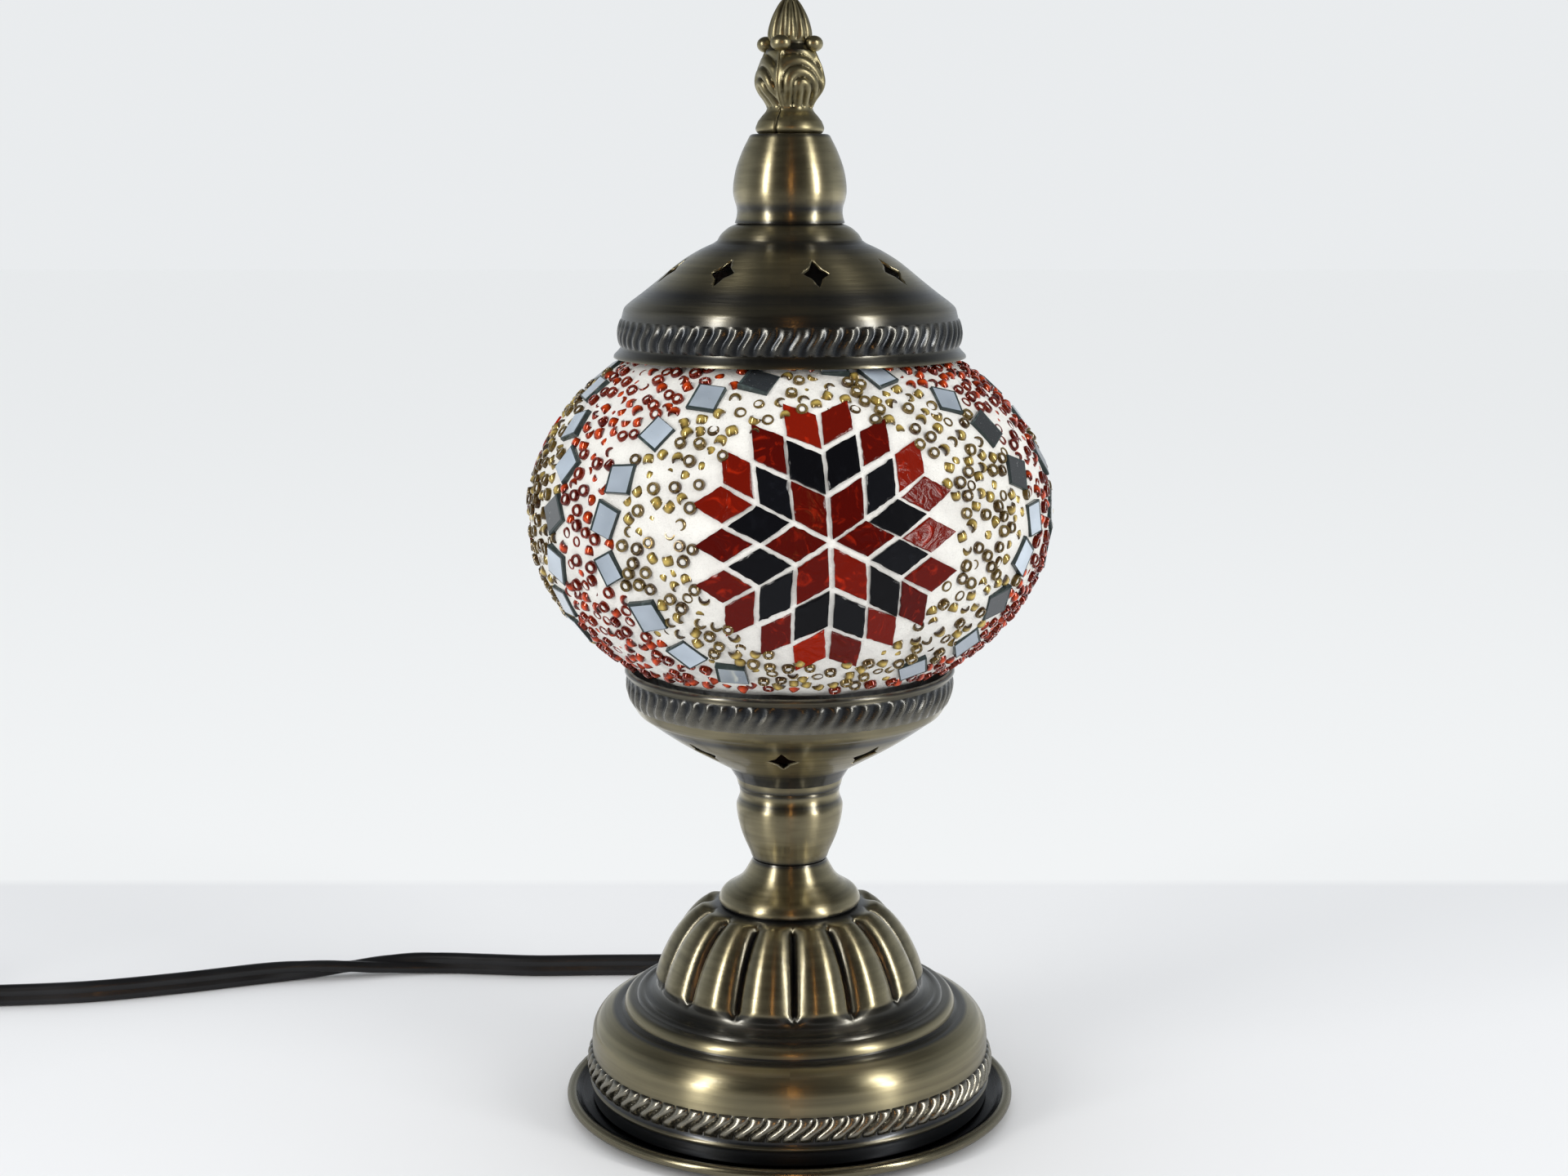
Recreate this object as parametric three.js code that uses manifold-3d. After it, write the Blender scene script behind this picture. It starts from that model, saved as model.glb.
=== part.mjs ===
// Mosaic glass table lamp on a spun brass foot, with a lift-off globe and a lift-off cap.
// Millimetres, +Z up, the origin at the centre of the underside. -Y is the front, +Y is the
// side that the cord leaves. Profiles are lists of [radius, height].
import * as THREE from 'three';
import { mergeVertices } from 'three/addons/utils/BufferGeometryUtils.js';
import Module from 'manifold-3d';

const wasm = await Module();
wasm.setup();

// Driving dimensions
const GAP = 0.3; // between touching pieces
const SHEET = 1.2; // spun sheet metal
const SEGMENTS_LARGE = 28;
const SEGMENTS_SMALL = 16;
const SEGMENTS_TINY = 12;

const PAD_R = 50;
const PAD_T = 1.5;
const SAUCER_RIM_R = 55.35; // centre of the rolled rim
const SAUCER_RIM_Z = 3.4;
const SAUCER_ROLL_R = 1.35;
const SAUCER_HOLE_R = 36;
const WALL_R = 50; // foot's upright wall
const FOOT_TOP_Z = 52.2;
const COLLAR_TOP_Z = 63.9;
const NECK_TOP_Z = 82.4;
const BOWL_RIM_Z = 113;
const BOWL_HOLES = 8;
const BOWL_HOLE_TURN = -3.6; // degrees right of the front
const CAP_RIM_Z = 189.2;
const CAP_TOP_Z = 221;
const CAP_HOLES = 8;
const CAP_HOLE_TURN = 12;
const CHIMNEY_TOP_Z = 242;
const LAMP_TOP_Z = 274.2;

const GLOBE_Z = 151.6; // centre of the globe
const MOSAIC_R = 64.6; // half width over the mosaic
const MOSAIC_H = 48.5; // half height over the mosaic, if it closed
const MOSAIC_T = 3;
const MOSAIC_EDGE_R = 36.5;
const GLASS_T = 2;
const GLASS_NECK_R = 33; // both openings have a short neck
const GLASS_NECK_L = 4.5;

const PIPE_R = 5; // M10 lamp pipe
const PIPE_BORE_R = 3.4;
const PIPE_BOTTOM_Z = 42;
const PIPE_TOP_Z = 94;
const PIPE_HOLE_R = 5.4;
const NUT_R = 9.8; // across corners, M10
const NUT_T = 4.4;
const WASHER_R = 9;
const WASHER_T = 1;
const LEAD_R = 2.6;

const SOCKET_R = 11;
const SOCKET_BOTTOM_Z = 90.6;
const SOCKET_FLOOR_Z = 97.2;
const SOCKET_TOP_Z = 117;
const SCREW_SHELL_R = 6.8; // E12 candelabra screw
const SCREW_SHELL_T = 0.5;
const BULB_SCREW_R = 5.9;
const BULB_SCREW_BOTTOM_Z = 103.6;
const BULB_SCREW_TOP_Z = 117.6;
const BULB_SCREW_T = 0.6;
const CONTACT_R = 2.4; // the socket's centre contact
const CONTACT_H = 2.3;

const ROD_R = 2.1; // finial's stud
const ROD_HOLE_R = 2.6;
const ROD_BOTTOM_Z = 213;
const ROD_TOP_Z = 252.6;
const CAP_NUT_R = 4.6;
const CAP_NUT_T = 3.6;

const RELIEF_Z = 12.3; // where the strain relief crosses the wall
const RELIEF_DROP = 10; // degrees below level
const RELIEF_R = 4.2;
const RELIEF_END_R = 3.6;
const RELIEF_INSIDE = 4;
const RELIEF_OUTSIDE = 21;
const RELIEF_FLANGE_R = 5.8;
const RELIEF_FLANGE_START = 1; // outside the wall
const RELIEF_FLANGE_T = 1.6;

const CORD_R = 3; // half the width of the flat twin cord
const CORD_SIDES = 8;
const CORD_STEP = 14;
const CORD_END_GAP = 0.8; // its ends slope a little against what they meet
const COIL_X = -352;
const COIL_Y = 26.3;
const COIL_INNER_R = 24.9;
const COIL_OUTER_R = 40.2;
const COIL_BOTTOM_Z = 0.95;
const COIL_TOP_Z = 13.3;
const TIE_W = 5;
const TIE_T = 0.5;
const TIE_GAP = 0.35;

const SWITCH_X = -283;
const SWITCH_Y = 65;
const SWITCH_L = 62;
const SWITCH_W = 24;
const SWITCH_CORNER_R = 8;
const SWITCH_BOTTOM_Z = 0.2;
const SWITCH_SPLIT_Z = 8.4;
const SWITCH_TOP_Z = 16;
const ROCKER_L = 17;
const ROCKER_W = 9;
const ROCKER_Z = 14.6; // pivot height
const ROCKER_TILT = 8; // degrees each side of level
const SCREW_R = 1.5;
const SCREW_BOTTOM_Z = 3;
const SCREW_HEAD_R = 2.6;
const SCREW_HEAD_T = 1.4;
const SCREW_INSET = 10; // from each end of the switch
const PLUG_X = -276; // where the cord enters the plug
const PLUG_Y = -11.9;
const PLUG_L = 26;
const PLUG_W = 24;
const PLUG_H = 14;
const BLADE_L = 17;
const BLADE_W = 6.35;
const BLADE_T = 1.5;
const BLADE_SPACING = 12.7;

// Materials
const metal = (color, roughness) =>
  new THREE.MeshStandardMaterial({ color, roughness, metalness: 1 });
const plain = (color, roughness) =>
  new THREE.MeshStandardMaterial({ color, roughness, metalness: 0 });
const antiqueBrass = () => metal(0x7d7456, 0.3);
const darkBrass = () => metal(0x4a4a46, 0.32);
const steel = () => metal(0xa9abac, 0.4);
const brightBrass = () => metal(0xc9a64b, 0.3);
const clearGlass = () => plain(0xe8eeee, 0.05);
const grout = () => plain(0xe6e2da, 0.7);
const blackPlastic = () => plain(0x121212, 0.35);
const phenolic = () => plain(0x2a2420, 0.45);
const felt = () => plain(0x1d2a20, 0.95);

// Geometry helpers
const degrees = THREE.MathUtils.degToRad;

function signedVolume(position, index) {
  const a = new THREE.Vector3();
  const b = new THREE.Vector3();
  const c = new THREE.Vector3();
  let volume = 0;
  for (let i = 0; i < index.length; i += 3) {
    a.fromBufferAttribute(position, index[i]);
    b.fromBufferAttribute(position, index[i + 1]);
    c.fromBufferAttribute(position, index[i + 2]);
    volume += a.dot(b.cross(c)) / 6;
  }
  return volume;
}

// One closed body with shared vertices, no flattened triangles, and its faces pointing out.
function weld(geometry) {
  const bare = new THREE.BufferGeometry();
  bare.setAttribute('position', geometry.getAttribute('position'));
  if (geometry.index) bare.setIndex(geometry.index);
  const merged = mergeVertices(bare, 1e-4);
  const all = Array.from(merged.index.array);
  let index = [];
  for (let i = 0; i < all.length; i += 3) {
    const [a, b, c] = all.slice(i, i + 3);
    if (a !== b && b !== c && c !== a) index.push(a, b, c);
  }
  if (signedVolume(merged.getAttribute('position'), index) < 0) index = index.reverse();
  merged.setIndex(index);
  return merged;
}

function toManifold(geometry) {
  const welded = weld(geometry);
  return new wasm.Manifold(new wasm.Mesh({
    numProp: 3,
    vertProperties: new Float32Array(welded.getAttribute('position').array),
    triVerts: new Uint32Array(welded.index.array),
  }));
}

function fromManifold(solid) {
  const mesh = solid.getMesh();
  const geometry = new THREE.BufferGeometry();
  geometry.setAttribute('position', new THREE.BufferAttribute(mesh.vertProperties, 3));
  geometry.setIndex(Array.from(mesh.triVerts));
  return geometry;
}

function cut(body, tools) {
  let solid = toManifold(body);
  for (const tool of tools) solid = solid.subtract(toManifold(tool));
  return fromManifold(solid);
}

// A body turned about Z. The profile starts and ends on the axis, or is closed on itself here.
function revolve(profile, segments) {
  const points = profile.map(([r, z]) => new THREE.Vector2(r, z));
  const open = points[0].x > 0 || points[points.length - 1].x > 0;
  if (open) points.push(points[0].clone());
  const lathe = new THREE.LatheGeometry(points, segments);
  lathe.rotateX(Math.PI / 2);
  return weld(lathe);
}

// A smooth curve through a few profile points, in the given number of steps.
function smooth(points, steps) {
  const curve = new THREE.SplineCurve(points.map(([r, z]) => new THREE.Vector2(r, z)));
  return curve.getPoints(steps).map((p) => [p.x, p.y]);
}

// The same profile moved sideways by a wall's thickness, to the left of its direction.
function offset(profile, wall) {
  return profile.map((point, i) => {
    const before = profile[Math.max(i - 1, 0)];
    const after = profile[Math.min(i + 1, profile.length - 1)];
    const into = new THREE.Vector2(point[0] - before[0], point[1] - before[1]).normalize();
    const out = new THREE.Vector2(after[0] - point[0], after[1] - point[1]).normalize();
    const along = into.clone().add(out).normalize();
    const side = new THREE.Vector2(-along.y, along.x);
    const across = i > 0 ? new THREE.Vector2(-into.y, into.x) : new THREE.Vector2(-out.y, out.x);
    const reach = wall / Math.max(side.dot(across), 0.5);
    return [point[0] + side.x * reach, point[1] + side.y * reach];
  });
}

// A spun shell: an outer profile from bottom to top, and an inner one with fewer points.
function spun(outer, inner, segments) {
  return revolve([...outer, ...offset(inner, SHEET).reverse()], segments);
}

function ring(outerR, innerR, bottomZ, topZ, segments) {
  const profile = [[innerR, bottomZ], [outerR, bottomZ], [outerR, topZ], [innerR, topZ]];
  return revolve(profile, segments);
}

function disc(radius, bottomZ, topZ, segments) {
  return revolve([[0, bottomZ], [radius, bottomZ], [radius, topZ], [0, topZ]], segments);
}

function extrude(shape, depth, curveSegments) {
  return weld(new THREE.ExtrudeGeometry(shape, { depth, bevelEnabled: false, curveSegments }));
}

function hexNut(radius, holeR, bottomZ, thickness) {
  const shape = new THREE.Shape();
  for (let i = 0; i < 6; i += 1) {
    const angle = degrees(60 * i);
    const step = i === 0 ? 'moveTo' : 'lineTo';
    shape[step](radius * Math.cos(angle), radius * Math.sin(angle));
  }
  shape.closePath();
  const hole = new THREE.Path();
  hole.absarc(0, 0, holeR, 0, 2 * Math.PI, true);
  shape.holes.push(hole);
  return extrude(shape, thickness, SEGMENTS_SMALL / 2).translate(0, 0, bottomZ);
}

function roundedRectangle(width, height, radius) {
  const x = width / 2 - radius;
  const y = height / 2 - radius;
  const quarter = Math.PI / 2;
  const shape = new THREE.Shape();
  shape.absarc(x, y, radius, 0, quarter, false);
  shape.absarc(-x, y, radius, quarter, 2 * quarter, false);
  shape.absarc(-x, -y, radius, 2 * quarter, 3 * quarter, false);
  shape.absarc(x, -y, radius, 3 * quarter, 4 * quarter, false);
  return shape;
}

// A tube of round section along a curve through the points.
function tube(points, radius, stepLength) {
  const curve = new THREE.CatmullRomCurve3(points.map((p) => new THREE.Vector3(...p)));
  const section = new THREE.Shape();
  for (let i = 0; i < CORD_SIDES; i += 1) {
    const angle = (2 * Math.PI * i) / CORD_SIDES;
    const step = i === 0 ? 'moveTo' : 'lineTo';
    section[step](radius * Math.cos(angle), radius * Math.sin(angle));
  }
  section.closePath();
  const steps = Math.max(1, Math.round(curve.getLength() / stepLength));
  return weld(new THREE.ExtrudeGeometry(section, { steps, extrudePath: curve }));
}

// A four-pointed star with hollow sides, as a cutter square to a turned surface.
function starCutter(halfWidth, halfHeight, radius, height, slope, turn) {
  const shape = new THREE.Shape();
  const waist = 0.3; // how near the sides come to the middle
  shape.moveTo(halfWidth, 0);
  shape.quadraticCurveTo(halfWidth * waist, halfHeight * waist, 0, halfHeight);
  shape.quadraticCurveTo(-halfWidth * waist, halfHeight * waist, -halfWidth, 0);
  shape.quadraticCurveTo(-halfWidth * waist, -halfHeight * waist, 0, -halfHeight);
  shape.quadraticCurveTo(halfWidth * waist, -halfHeight * waist, halfWidth, 0);
  const reach = 3;
  const options = { depth: 2 * reach, bevelEnabled: false, curveSegments: 2 };
  const geometry = new THREE.ExtrudeGeometry(shape, options).translate(0, 0, -reach);
  const azimuth = degrees(turn - 90);
  const tilt = degrees(slope);
  const around = new THREE.Vector3(-Math.sin(azimuth), Math.cos(azimuth), 0);
  const normal = new THREE.Vector3(
    Math.cos(azimuth) * Math.cos(tilt),
    Math.sin(azimuth) * Math.cos(tilt),
    Math.sin(tilt),
  );
  const uphill = new THREE.Vector3().crossVectors(normal, around);
  const place = new THREE.Matrix4().makeBasis(around, uphill, normal);
  place.setPosition(radius * Math.cos(azimuth), radius * Math.sin(azimuth), height);
  return geometry.applyMatrix4(place);
}

function starCutters(count, turn, halfWidth, halfHeight, radius, height, slope) {
  const cutters = [];
  for (let i = 0; i < count; i += 1) {
    const at = turn + (360 * i) / count;
    cutters.push(starCutter(halfWidth, halfHeight, radius, height, slope, at));
  }
  return cutters;
}

const lamp = new THREE.Group();

function add(group, name, geometry, material) {
  const mesh = new THREE.Mesh(geometry, material);
  mesh.name = name;
  group.add(mesh);
  return mesh;
}

// Foot
const foot = new THREE.Group();
lamp.add(foot);
add(foot, 'base_pad', disc(PAD_R, 0, PAD_T, SEGMENTS_LARGE), felt());

function saucerProfile() {
  const plateZ = PAD_T + GAP;
  const profile = [[SAUCER_HOLE_R, plateZ], [WALL_R + 1, plateZ]];
  for (const angle of [-90, -30, 30, 90, 150]) {
    profile.push([
      SAUCER_RIM_R + SAUCER_ROLL_R * Math.cos(degrees(angle)),
      SAUCER_RIM_Z + SAUCER_ROLL_R * Math.sin(degrees(angle)),
    ]);
  }
  profile.push([WALL_R + 2, plateZ + 1], [SAUCER_HOLE_R, plateZ + 1]);
  return profile;
}
add(foot, 'base_saucer', revolve(saucerProfile(), SEGMENTS_LARGE), darkBrass());

const footOuter = [
  [WALL_R, 3.2],
  [WALL_R, 6.7],
  [WALL_R + 0.8, 7.5],
  [WALL_R, 8.3],
  // the twisted-rope band
  [WALL_R, 9.7],
  [WALL_R + 1.4, 12.3],
  [WALL_R, 14.9],
  // shoulder
  ...smooth([[WALL_R, 18], [49.5, 21.2], [47.6, 23.9], [44.8, 25.4], [42.2, 25.6]], 5),
  // bead ring
  ...smooth([[41.7, 25.8], [41.5, 27.4], [40.6, 28.5], [39.2, 28.8]], 3),
  // fluted dome
  ...smooth([[33.2, 31], [30.9, 38.3], [28, 43.9], [24.1, 48.6], [19.5, 51.6]], 5),
  [17, FOOT_TOP_Z],
  [PIPE_HOLE_R, FOOT_TOP_Z],
];
const footInner = [
  [WALL_R, 3.2],
  [WALL_R, 18],
  [47.6, 23.6],
  [42, 25.6],
  [33.2, 31],
  [28, 43.9],
  [17, FOOT_TOP_Z],
  [PIPE_HOLE_R, FOOT_TOP_Z],
];

// The strain relief's own axis is Y, pointing out of the foot.
function placeAtRelief(geometry) {
  return geometry.rotateX(-degrees(RELIEF_DROP)).translate(0, WALL_R, RELIEF_Z);
}

function reliefCutter(radius, start, length) {
  const cylinder = new THREE.CylinderGeometry(radius, radius, length, SEGMENTS_TINY);
  return placeAtRelief(cylinder.translate(0, start + length / 2, 0));
}

function reliefGeometry() {
  const points = [
    [0, -RELIEF_INSIDE],
    [RELIEF_R, -RELIEF_INSIDE],
    [RELIEF_R, RELIEF_FLANGE_START],
    [RELIEF_FLANGE_R, RELIEF_FLANGE_START],
    [RELIEF_FLANGE_R, RELIEF_FLANGE_START + RELIEF_FLANGE_T],
    [RELIEF_R, RELIEF_FLANGE_START + RELIEF_FLANGE_T],
    [RELIEF_END_R, RELIEF_OUTSIDE],
    [0, RELIEF_OUTSIDE],
  ].map(([r, y]) => new THREE.Vector2(r, y));
  return weld(placeAtRelief(new THREE.LatheGeometry(points, SEGMENTS_TINY)));
}

const footHoles = [
  reliefCutter(RELIEF_R + GAP, -2 * RELIEF_INSIDE, 3 * RELIEF_INSIDE),
  reliefCutter(RELIEF_FLANGE_R + GAP, RELIEF_FLANGE_START - GAP, RELIEF_INSIDE),
];
const footShell = spun(footOuter, footInner, SEGMENTS_LARGE);
add(foot, 'base_shell', cut(footShell, footHoles), antiqueBrass());
add(foot, 'strain_relief', reliefGeometry(), blackPlastic());

// Stem: collar, neck and bowl, clamped on the lamp pipe between two nuts
const collarBottomZ = FOOT_TOP_Z + GAP;
const collarOuter = [
  [PIPE_HOLE_R, collarBottomZ],
  [17.2, collarBottomZ],
  ...smooth([[17.7, 53.4], [16.6, 55.7], [13.9, 57.4], [11.8, 59.3], [10.2, 61.9]], 5),
  [9.2, COLLAR_TOP_Z],
  [PIPE_HOLE_R, COLLAR_TOP_Z],
];
const collarInner = [
  [PIPE_HOLE_R, collarBottomZ],
  [17.2, collarBottomZ],
  [16.4, 55.4],
  [11.8, 59.3],
  [9.2, COLLAR_TOP_Z],
  [PIPE_HOLE_R, COLLAR_TOP_Z],
];
add(foot, 'stem_collar', spun(collarOuter, collarInner, SEGMENTS_SMALL), antiqueBrass());

const neckBottomZ = COLLAR_TOP_Z + GAP;
const neckOuter = [
  [PIPE_HOLE_R, neckBottomZ],
  [9.2, neckBottomZ],
  ...smooth([[9.6, 65], [11.8, 70.2], [12.9, 74.2], [13.3, 77.6], [12.9, 80.8]], 5),
  [12.5, NECK_TOP_Z],
  [PIPE_HOLE_R, NECK_TOP_Z],
];
const neckInner = [
  [PIPE_HOLE_R, neckBottomZ],
  [9.2, neckBottomZ],
  [12.9, 74.2],
  [13.2, 78],
  [12.5, NECK_TOP_Z],
  [PIPE_HOLE_R, NECK_TOP_Z],
];
add(foot, 'stem_neck', spun(neckOuter, neckInner, SEGMENTS_SMALL), antiqueBrass());

const bowlBottomZ = NECK_TOP_Z + GAP;
const bowlOuter = [
  [PIPE_HOLE_R, bowlBottomZ],
  [12.8, bowlBottomZ],
  ...smooth([[13.1, 84], [16, 88.1], [20, 90.8], [25, 93.5], [29.6, 96.2], [35.9, 100.9]], 5),
  [37.2, 101.3],
  ...smooth([[38, 102.6], [39.6, 105.6], [40.2, 110]], 2),
  [41, 111.2],
  [40.8, BOWL_RIM_Z - 0.2],
  [39.7, BOWL_RIM_Z],
];
const bowlInner = [
  [PIPE_HOLE_R, bowlBottomZ],
  [12.8, bowlBottomZ],
  [16, 88.1],
  [29.6, 96.2],
  [37, 101.2],
  [39.8, 106.5],
  [40.3, BOWL_RIM_Z],
];
const bowlHoles = starCutters(BOWL_HOLES, BOWL_HOLE_TURN, 3.6, 4.8, 28.3, 95.4, -52);
add(foot, 'bowl', cut(spun(bowlOuter, bowlInner, SEGMENTS_LARGE), bowlHoles), antiqueBrass());

// Lamp pipe and what it clamps
const pipe = ring(PIPE_R, PIPE_BORE_R, PIPE_BOTTOM_Z, PIPE_TOP_Z, SEGMENTS_SMALL);
add(foot, 'lamp_pipe', pipe, steel());
const lowerWasherZ = FOOT_TOP_Z - SHEET - GAP - WASHER_T;
const upperWasherZ = bowlBottomZ + SHEET + GAP;
const nutHoleR = PIPE_R + GAP;
const washer = (z) => ring(WASHER_R, nutHoleR, z, z + WASHER_T, SEGMENTS_SMALL);
const pipeNut = (z) => hexNut(NUT_R, nutHoleR, z, NUT_T);
add(foot, 'pipe_lower_washer', washer(lowerWasherZ), steel());
add(foot, 'pipe_lower_nut', pipeNut(lowerWasherZ - GAP - NUT_T), steel());
add(foot, 'pipe_upper_washer', washer(upperWasherZ), steel());
add(foot, 'pipe_upper_nut', pipeNut(upperWasherZ + WASHER_T + GAP), steel());

const leadRoute = [
  [0, 45.7, 13.1],
  [0, 36, 15.8],
  [0, 23, 21.5],
  [0, 11, 29.5],
  [0, 2, 36.5],
  [0, 0, 43],
  [0, 0, 60],
  [0, 0, PIPE_TOP_Z - GAP],
];
add(foot, 'inner_lead', tube(leadRoute, LEAD_R, 6), blackPlastic());

// Bulb socket
const socketProfile = [
  [0, SOCKET_FLOOR_Z],
  [SCREW_SHELL_R + GAP, SOCKET_FLOOR_Z],
  [SCREW_SHELL_R + GAP, SOCKET_TOP_Z],
  [SOCKET_R, SOCKET_TOP_Z],
  [SOCKET_R, SOCKET_BOTTOM_Z],
  [nutHoleR, SOCKET_BOTTOM_Z],
  [nutHoleR, PIPE_TOP_Z + GAP],
  [0, PIPE_TOP_Z + GAP],
];
add(foot, 'socket_body', revolve(socketProfile, SEGMENTS_SMALL), phenolic());
const screwShellBottomZ = SOCKET_FLOOR_Z + 3;
const screwShell = ring(
  SCREW_SHELL_R,
  SCREW_SHELL_R - SCREW_SHELL_T,
  screwShellBottomZ,
  SOCKET_TOP_Z - GAP,
  SEGMENTS_SMALL,
);
add(foot, 'socket_screw_shell', screwShell, brightBrass());
const contactBottomZ = SOCKET_FLOOR_Z + GAP;
const contactTopZ = contactBottomZ + CONTACT_H;
const socketContact = disc(CONTACT_R, contactBottomZ, contactTopZ, SEGMENTS_TINY);
add(foot, 'socket_contact', socketContact, brightBrass());

// Bulb, which unscrews upwards
const bulb = new THREE.Group();
lamp.add(bulb);
const insulatorBottomZ = contactTopZ + 1.9;
const tip = disc(1.6, contactTopZ + GAP, insulatorBottomZ - GAP, SEGMENTS_TINY);
add(bulb, 'bulb_tip_contact', tip, steel());
const insulator = [
  [0, insulatorBottomZ],
  [2, insulatorBottomZ],
  [4, BULB_SCREW_BOTTOM_Z - GAP],
  [0, BULB_SCREW_BOTTOM_Z - GAP],
];
add(bulb, 'bulb_insulator', revolve(insulator, SEGMENTS_TINY), blackPlastic());
const screwCap = [
  [0, BULB_SCREW_BOTTOM_Z],
  [4.2, BULB_SCREW_BOTTOM_Z],
  [BULB_SCREW_R, BULB_SCREW_BOTTOM_Z + 1.6],
  [BULB_SCREW_R, BULB_SCREW_TOP_Z],
  [BULB_SCREW_R - BULB_SCREW_T, BULB_SCREW_TOP_Z],
  [BULB_SCREW_R - BULB_SCREW_T, BULB_SCREW_BOTTOM_Z + 2.4],
  [0, BULB_SCREW_BOTTOM_Z + 2.4],
];
add(bulb, 'bulb_screw_cap', revolve(screwCap, SEGMENTS_SMALL), brightBrass());
const bulbNeckZ = BULB_SCREW_TOP_Z - 5;
const bulbOuter = [
  [3.6, bulbNeckZ],
  [5, bulbNeckZ],
  [5, BULB_SCREW_TOP_Z],
  ...smooth([[6.2, 121], [12.4, 133], [15, 145], [13, 158], [7.5, 170], [3, 177.4]], 8),
  [0, 179],
];
const bulbInner = [
  [0, 177.8],
  ...smooth([[2.2, 176.6], [6.6, 169], [12, 157.6], [14, 145], [11.4, 133.4], [5, 121.6]], 6),
  [3.6, BULB_SCREW_TOP_Z],
];
add(bulb, 'bulb_glass', revolve([...bulbOuter, ...bulbInner], SEGMENTS_SMALL), clearGlass());
const mount = [
  [0, bulbNeckZ - 4],
  [2.8, bulbNeckZ - 4],
  [2.8, 122],
  [1.2, 132],
  [1.2, 146],
  [0, 148],
];
add(bulb, 'bulb_filament_mount', revolve(mount, SEGMENTS_TINY), clearGlass());

// Globe: a flattened glass ball with a short neck at each opening, under a mosaic layer
const globe = new THREE.Group();
lamp.add(globe);

function ellipse(halfWidth, halfHeight, edgeR, steps) {
  const start = Math.acos(edgeR / halfWidth);
  const points = [];
  for (let i = 0; i <= steps; i += 1) {
    const angle = -start + (2 * start * i) / steps;
    points.push([halfWidth * Math.cos(angle), GLOBE_Z + halfHeight * Math.sin(angle)]);
  }
  return points;
}

const glassInset = MOSAIC_T + GAP;
const glassOuter = ellipse(MOSAIC_R - glassInset, MOSAIC_H - glassInset, GLASS_NECK_R, 8);
const innerInset = glassInset + GLASS_T;
const glassInner = ellipse(
  MOSAIC_R - innerInset,
  MOSAIC_H - innerInset,
  GLASS_NECK_R - GLASS_T,
  8,
);
const neckLow = glassOuter[0][1] - GLASS_NECK_L;
const neckHigh = glassOuter[glassOuter.length - 1][1] + GLASS_NECK_L;
const glassProfile = [
  [GLASS_NECK_R, neckLow],
  ...glassOuter,
  [GLASS_NECK_R, neckHigh],
  [GLASS_NECK_R - GLASS_T, neckHigh],
  ...glassInner.reverse(),
  [GLASS_NECK_R - GLASS_T, neckLow],
];
add(globe, 'glass_globe', revolve(glassProfile, SEGMENTS_LARGE), clearGlass());
const mosaicProfile = [
  ...ellipse(MOSAIC_R, MOSAIC_H, MOSAIC_EDGE_R, 10),
  ...ellipse(MOSAIC_R - MOSAIC_T, MOSAIC_H - MOSAIC_T, MOSAIC_EDGE_R - 1, 8).reverse(),
];
add(globe, 'mosaic_layer', revolve(mosaicProfile, SEGMENTS_LARGE), grout());

// Cap: vented dome, chimney and finial, held together by a stud
const cap = new THREE.Group();
lamp.add(cap);
const capOuter = [
  [42.5, CAP_RIM_Z],
  [41, 191.3],
  // ribbed band
  [40.6, 191.8],
  [41, 195],
  [40.5, 198.6],
  [39.9, 201],
  [38.6, 202.3],
  // vented dome
  ...smooth([[38, 202.7], [32.2, 207.2], [26.5, 211.8], [18.4, 216.3]], 4),
  // rolled ring under the chimney
  ...smooth([[17.2, 217.2], [15.4, 219.5], [12.6, CAP_TOP_Z]], 2),
  [ROD_HOLE_R, CAP_TOP_Z],
];
const capInner = [
  [42.6, CAP_RIM_Z + 0.7],
  [40.8, 192],
  [40.7, 198.6],
  [38.4, 202.4],
  [26.5, 211.8],
  [17.2, 217.2],
  [12.6, CAP_TOP_Z],
  [ROD_HOLE_R, CAP_TOP_Z],
];
const capHoles = starCutters(CAP_HOLES, CAP_HOLE_TURN, 3.4, 5.2, 28.6, 210.2, 50);
add(cap, 'cap_dome', cut(spun(capOuter, capInner, SEGMENTS_LARGE), capHoles), antiqueBrass());

const chimneyBottomZ = CAP_TOP_Z + GAP;
const chimneyOuter = [
  [ROD_HOLE_R, chimneyBottomZ],
  [12.3, chimneyBottomZ],
  [12.6, 224.6],
  ...smooth([[13, 226.4], [13.6, 229], [12.8, 234.2], [11.4, 238], [9.8, 241.4]], 5),
  [9.3, CHIMNEY_TOP_Z],
  [ROD_HOLE_R, CHIMNEY_TOP_Z],
];
const chimneyInner = [
  [ROD_HOLE_R, chimneyBottomZ],
  [12.3, chimneyBottomZ],
  [13.5, 229],
  [12.8, 234.2],
  [9.6, CHIMNEY_TOP_Z],
  [ROD_HOLE_R, CHIMNEY_TOP_Z],
];
add(cap, 'cap_chimney', spun(chimneyOuter, chimneyInner, SEGMENTS_SMALL), antiqueBrass());

const finialBottomZ = CHIMNEY_TOP_Z + GAP;
const finialProfile = [
  [0, ROD_TOP_Z + GAP],
  [ROD_R + GAP, ROD_TOP_Z + GAP],
  [ROD_R + GAP, finialBottomZ],
  [7.6, finialBottomZ],
  [8.2, 243.2],
  [7.6, 245],
  ...smooth([[5.8, 247.2], [5.3, 248.7], [6.2, 250.2], [8.3, 254], [6.6, 259]], 5),
  [5.4, 262],
  [7, 263.7],
  [5.2, 265],
  ...smooth([[4.7, 266.6], [3.4, 270.8], [2, 273]], 2),
  [0, LAMP_TOP_Z],
];
add(cap, 'finial', revolve(finialProfile, SEGMENTS_SMALL), antiqueBrass());
add(cap, 'finial_stud', disc(ROD_R, ROD_BOTTOM_Z, ROD_TOP_Z, SEGMENTS_TINY), steel());
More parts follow.
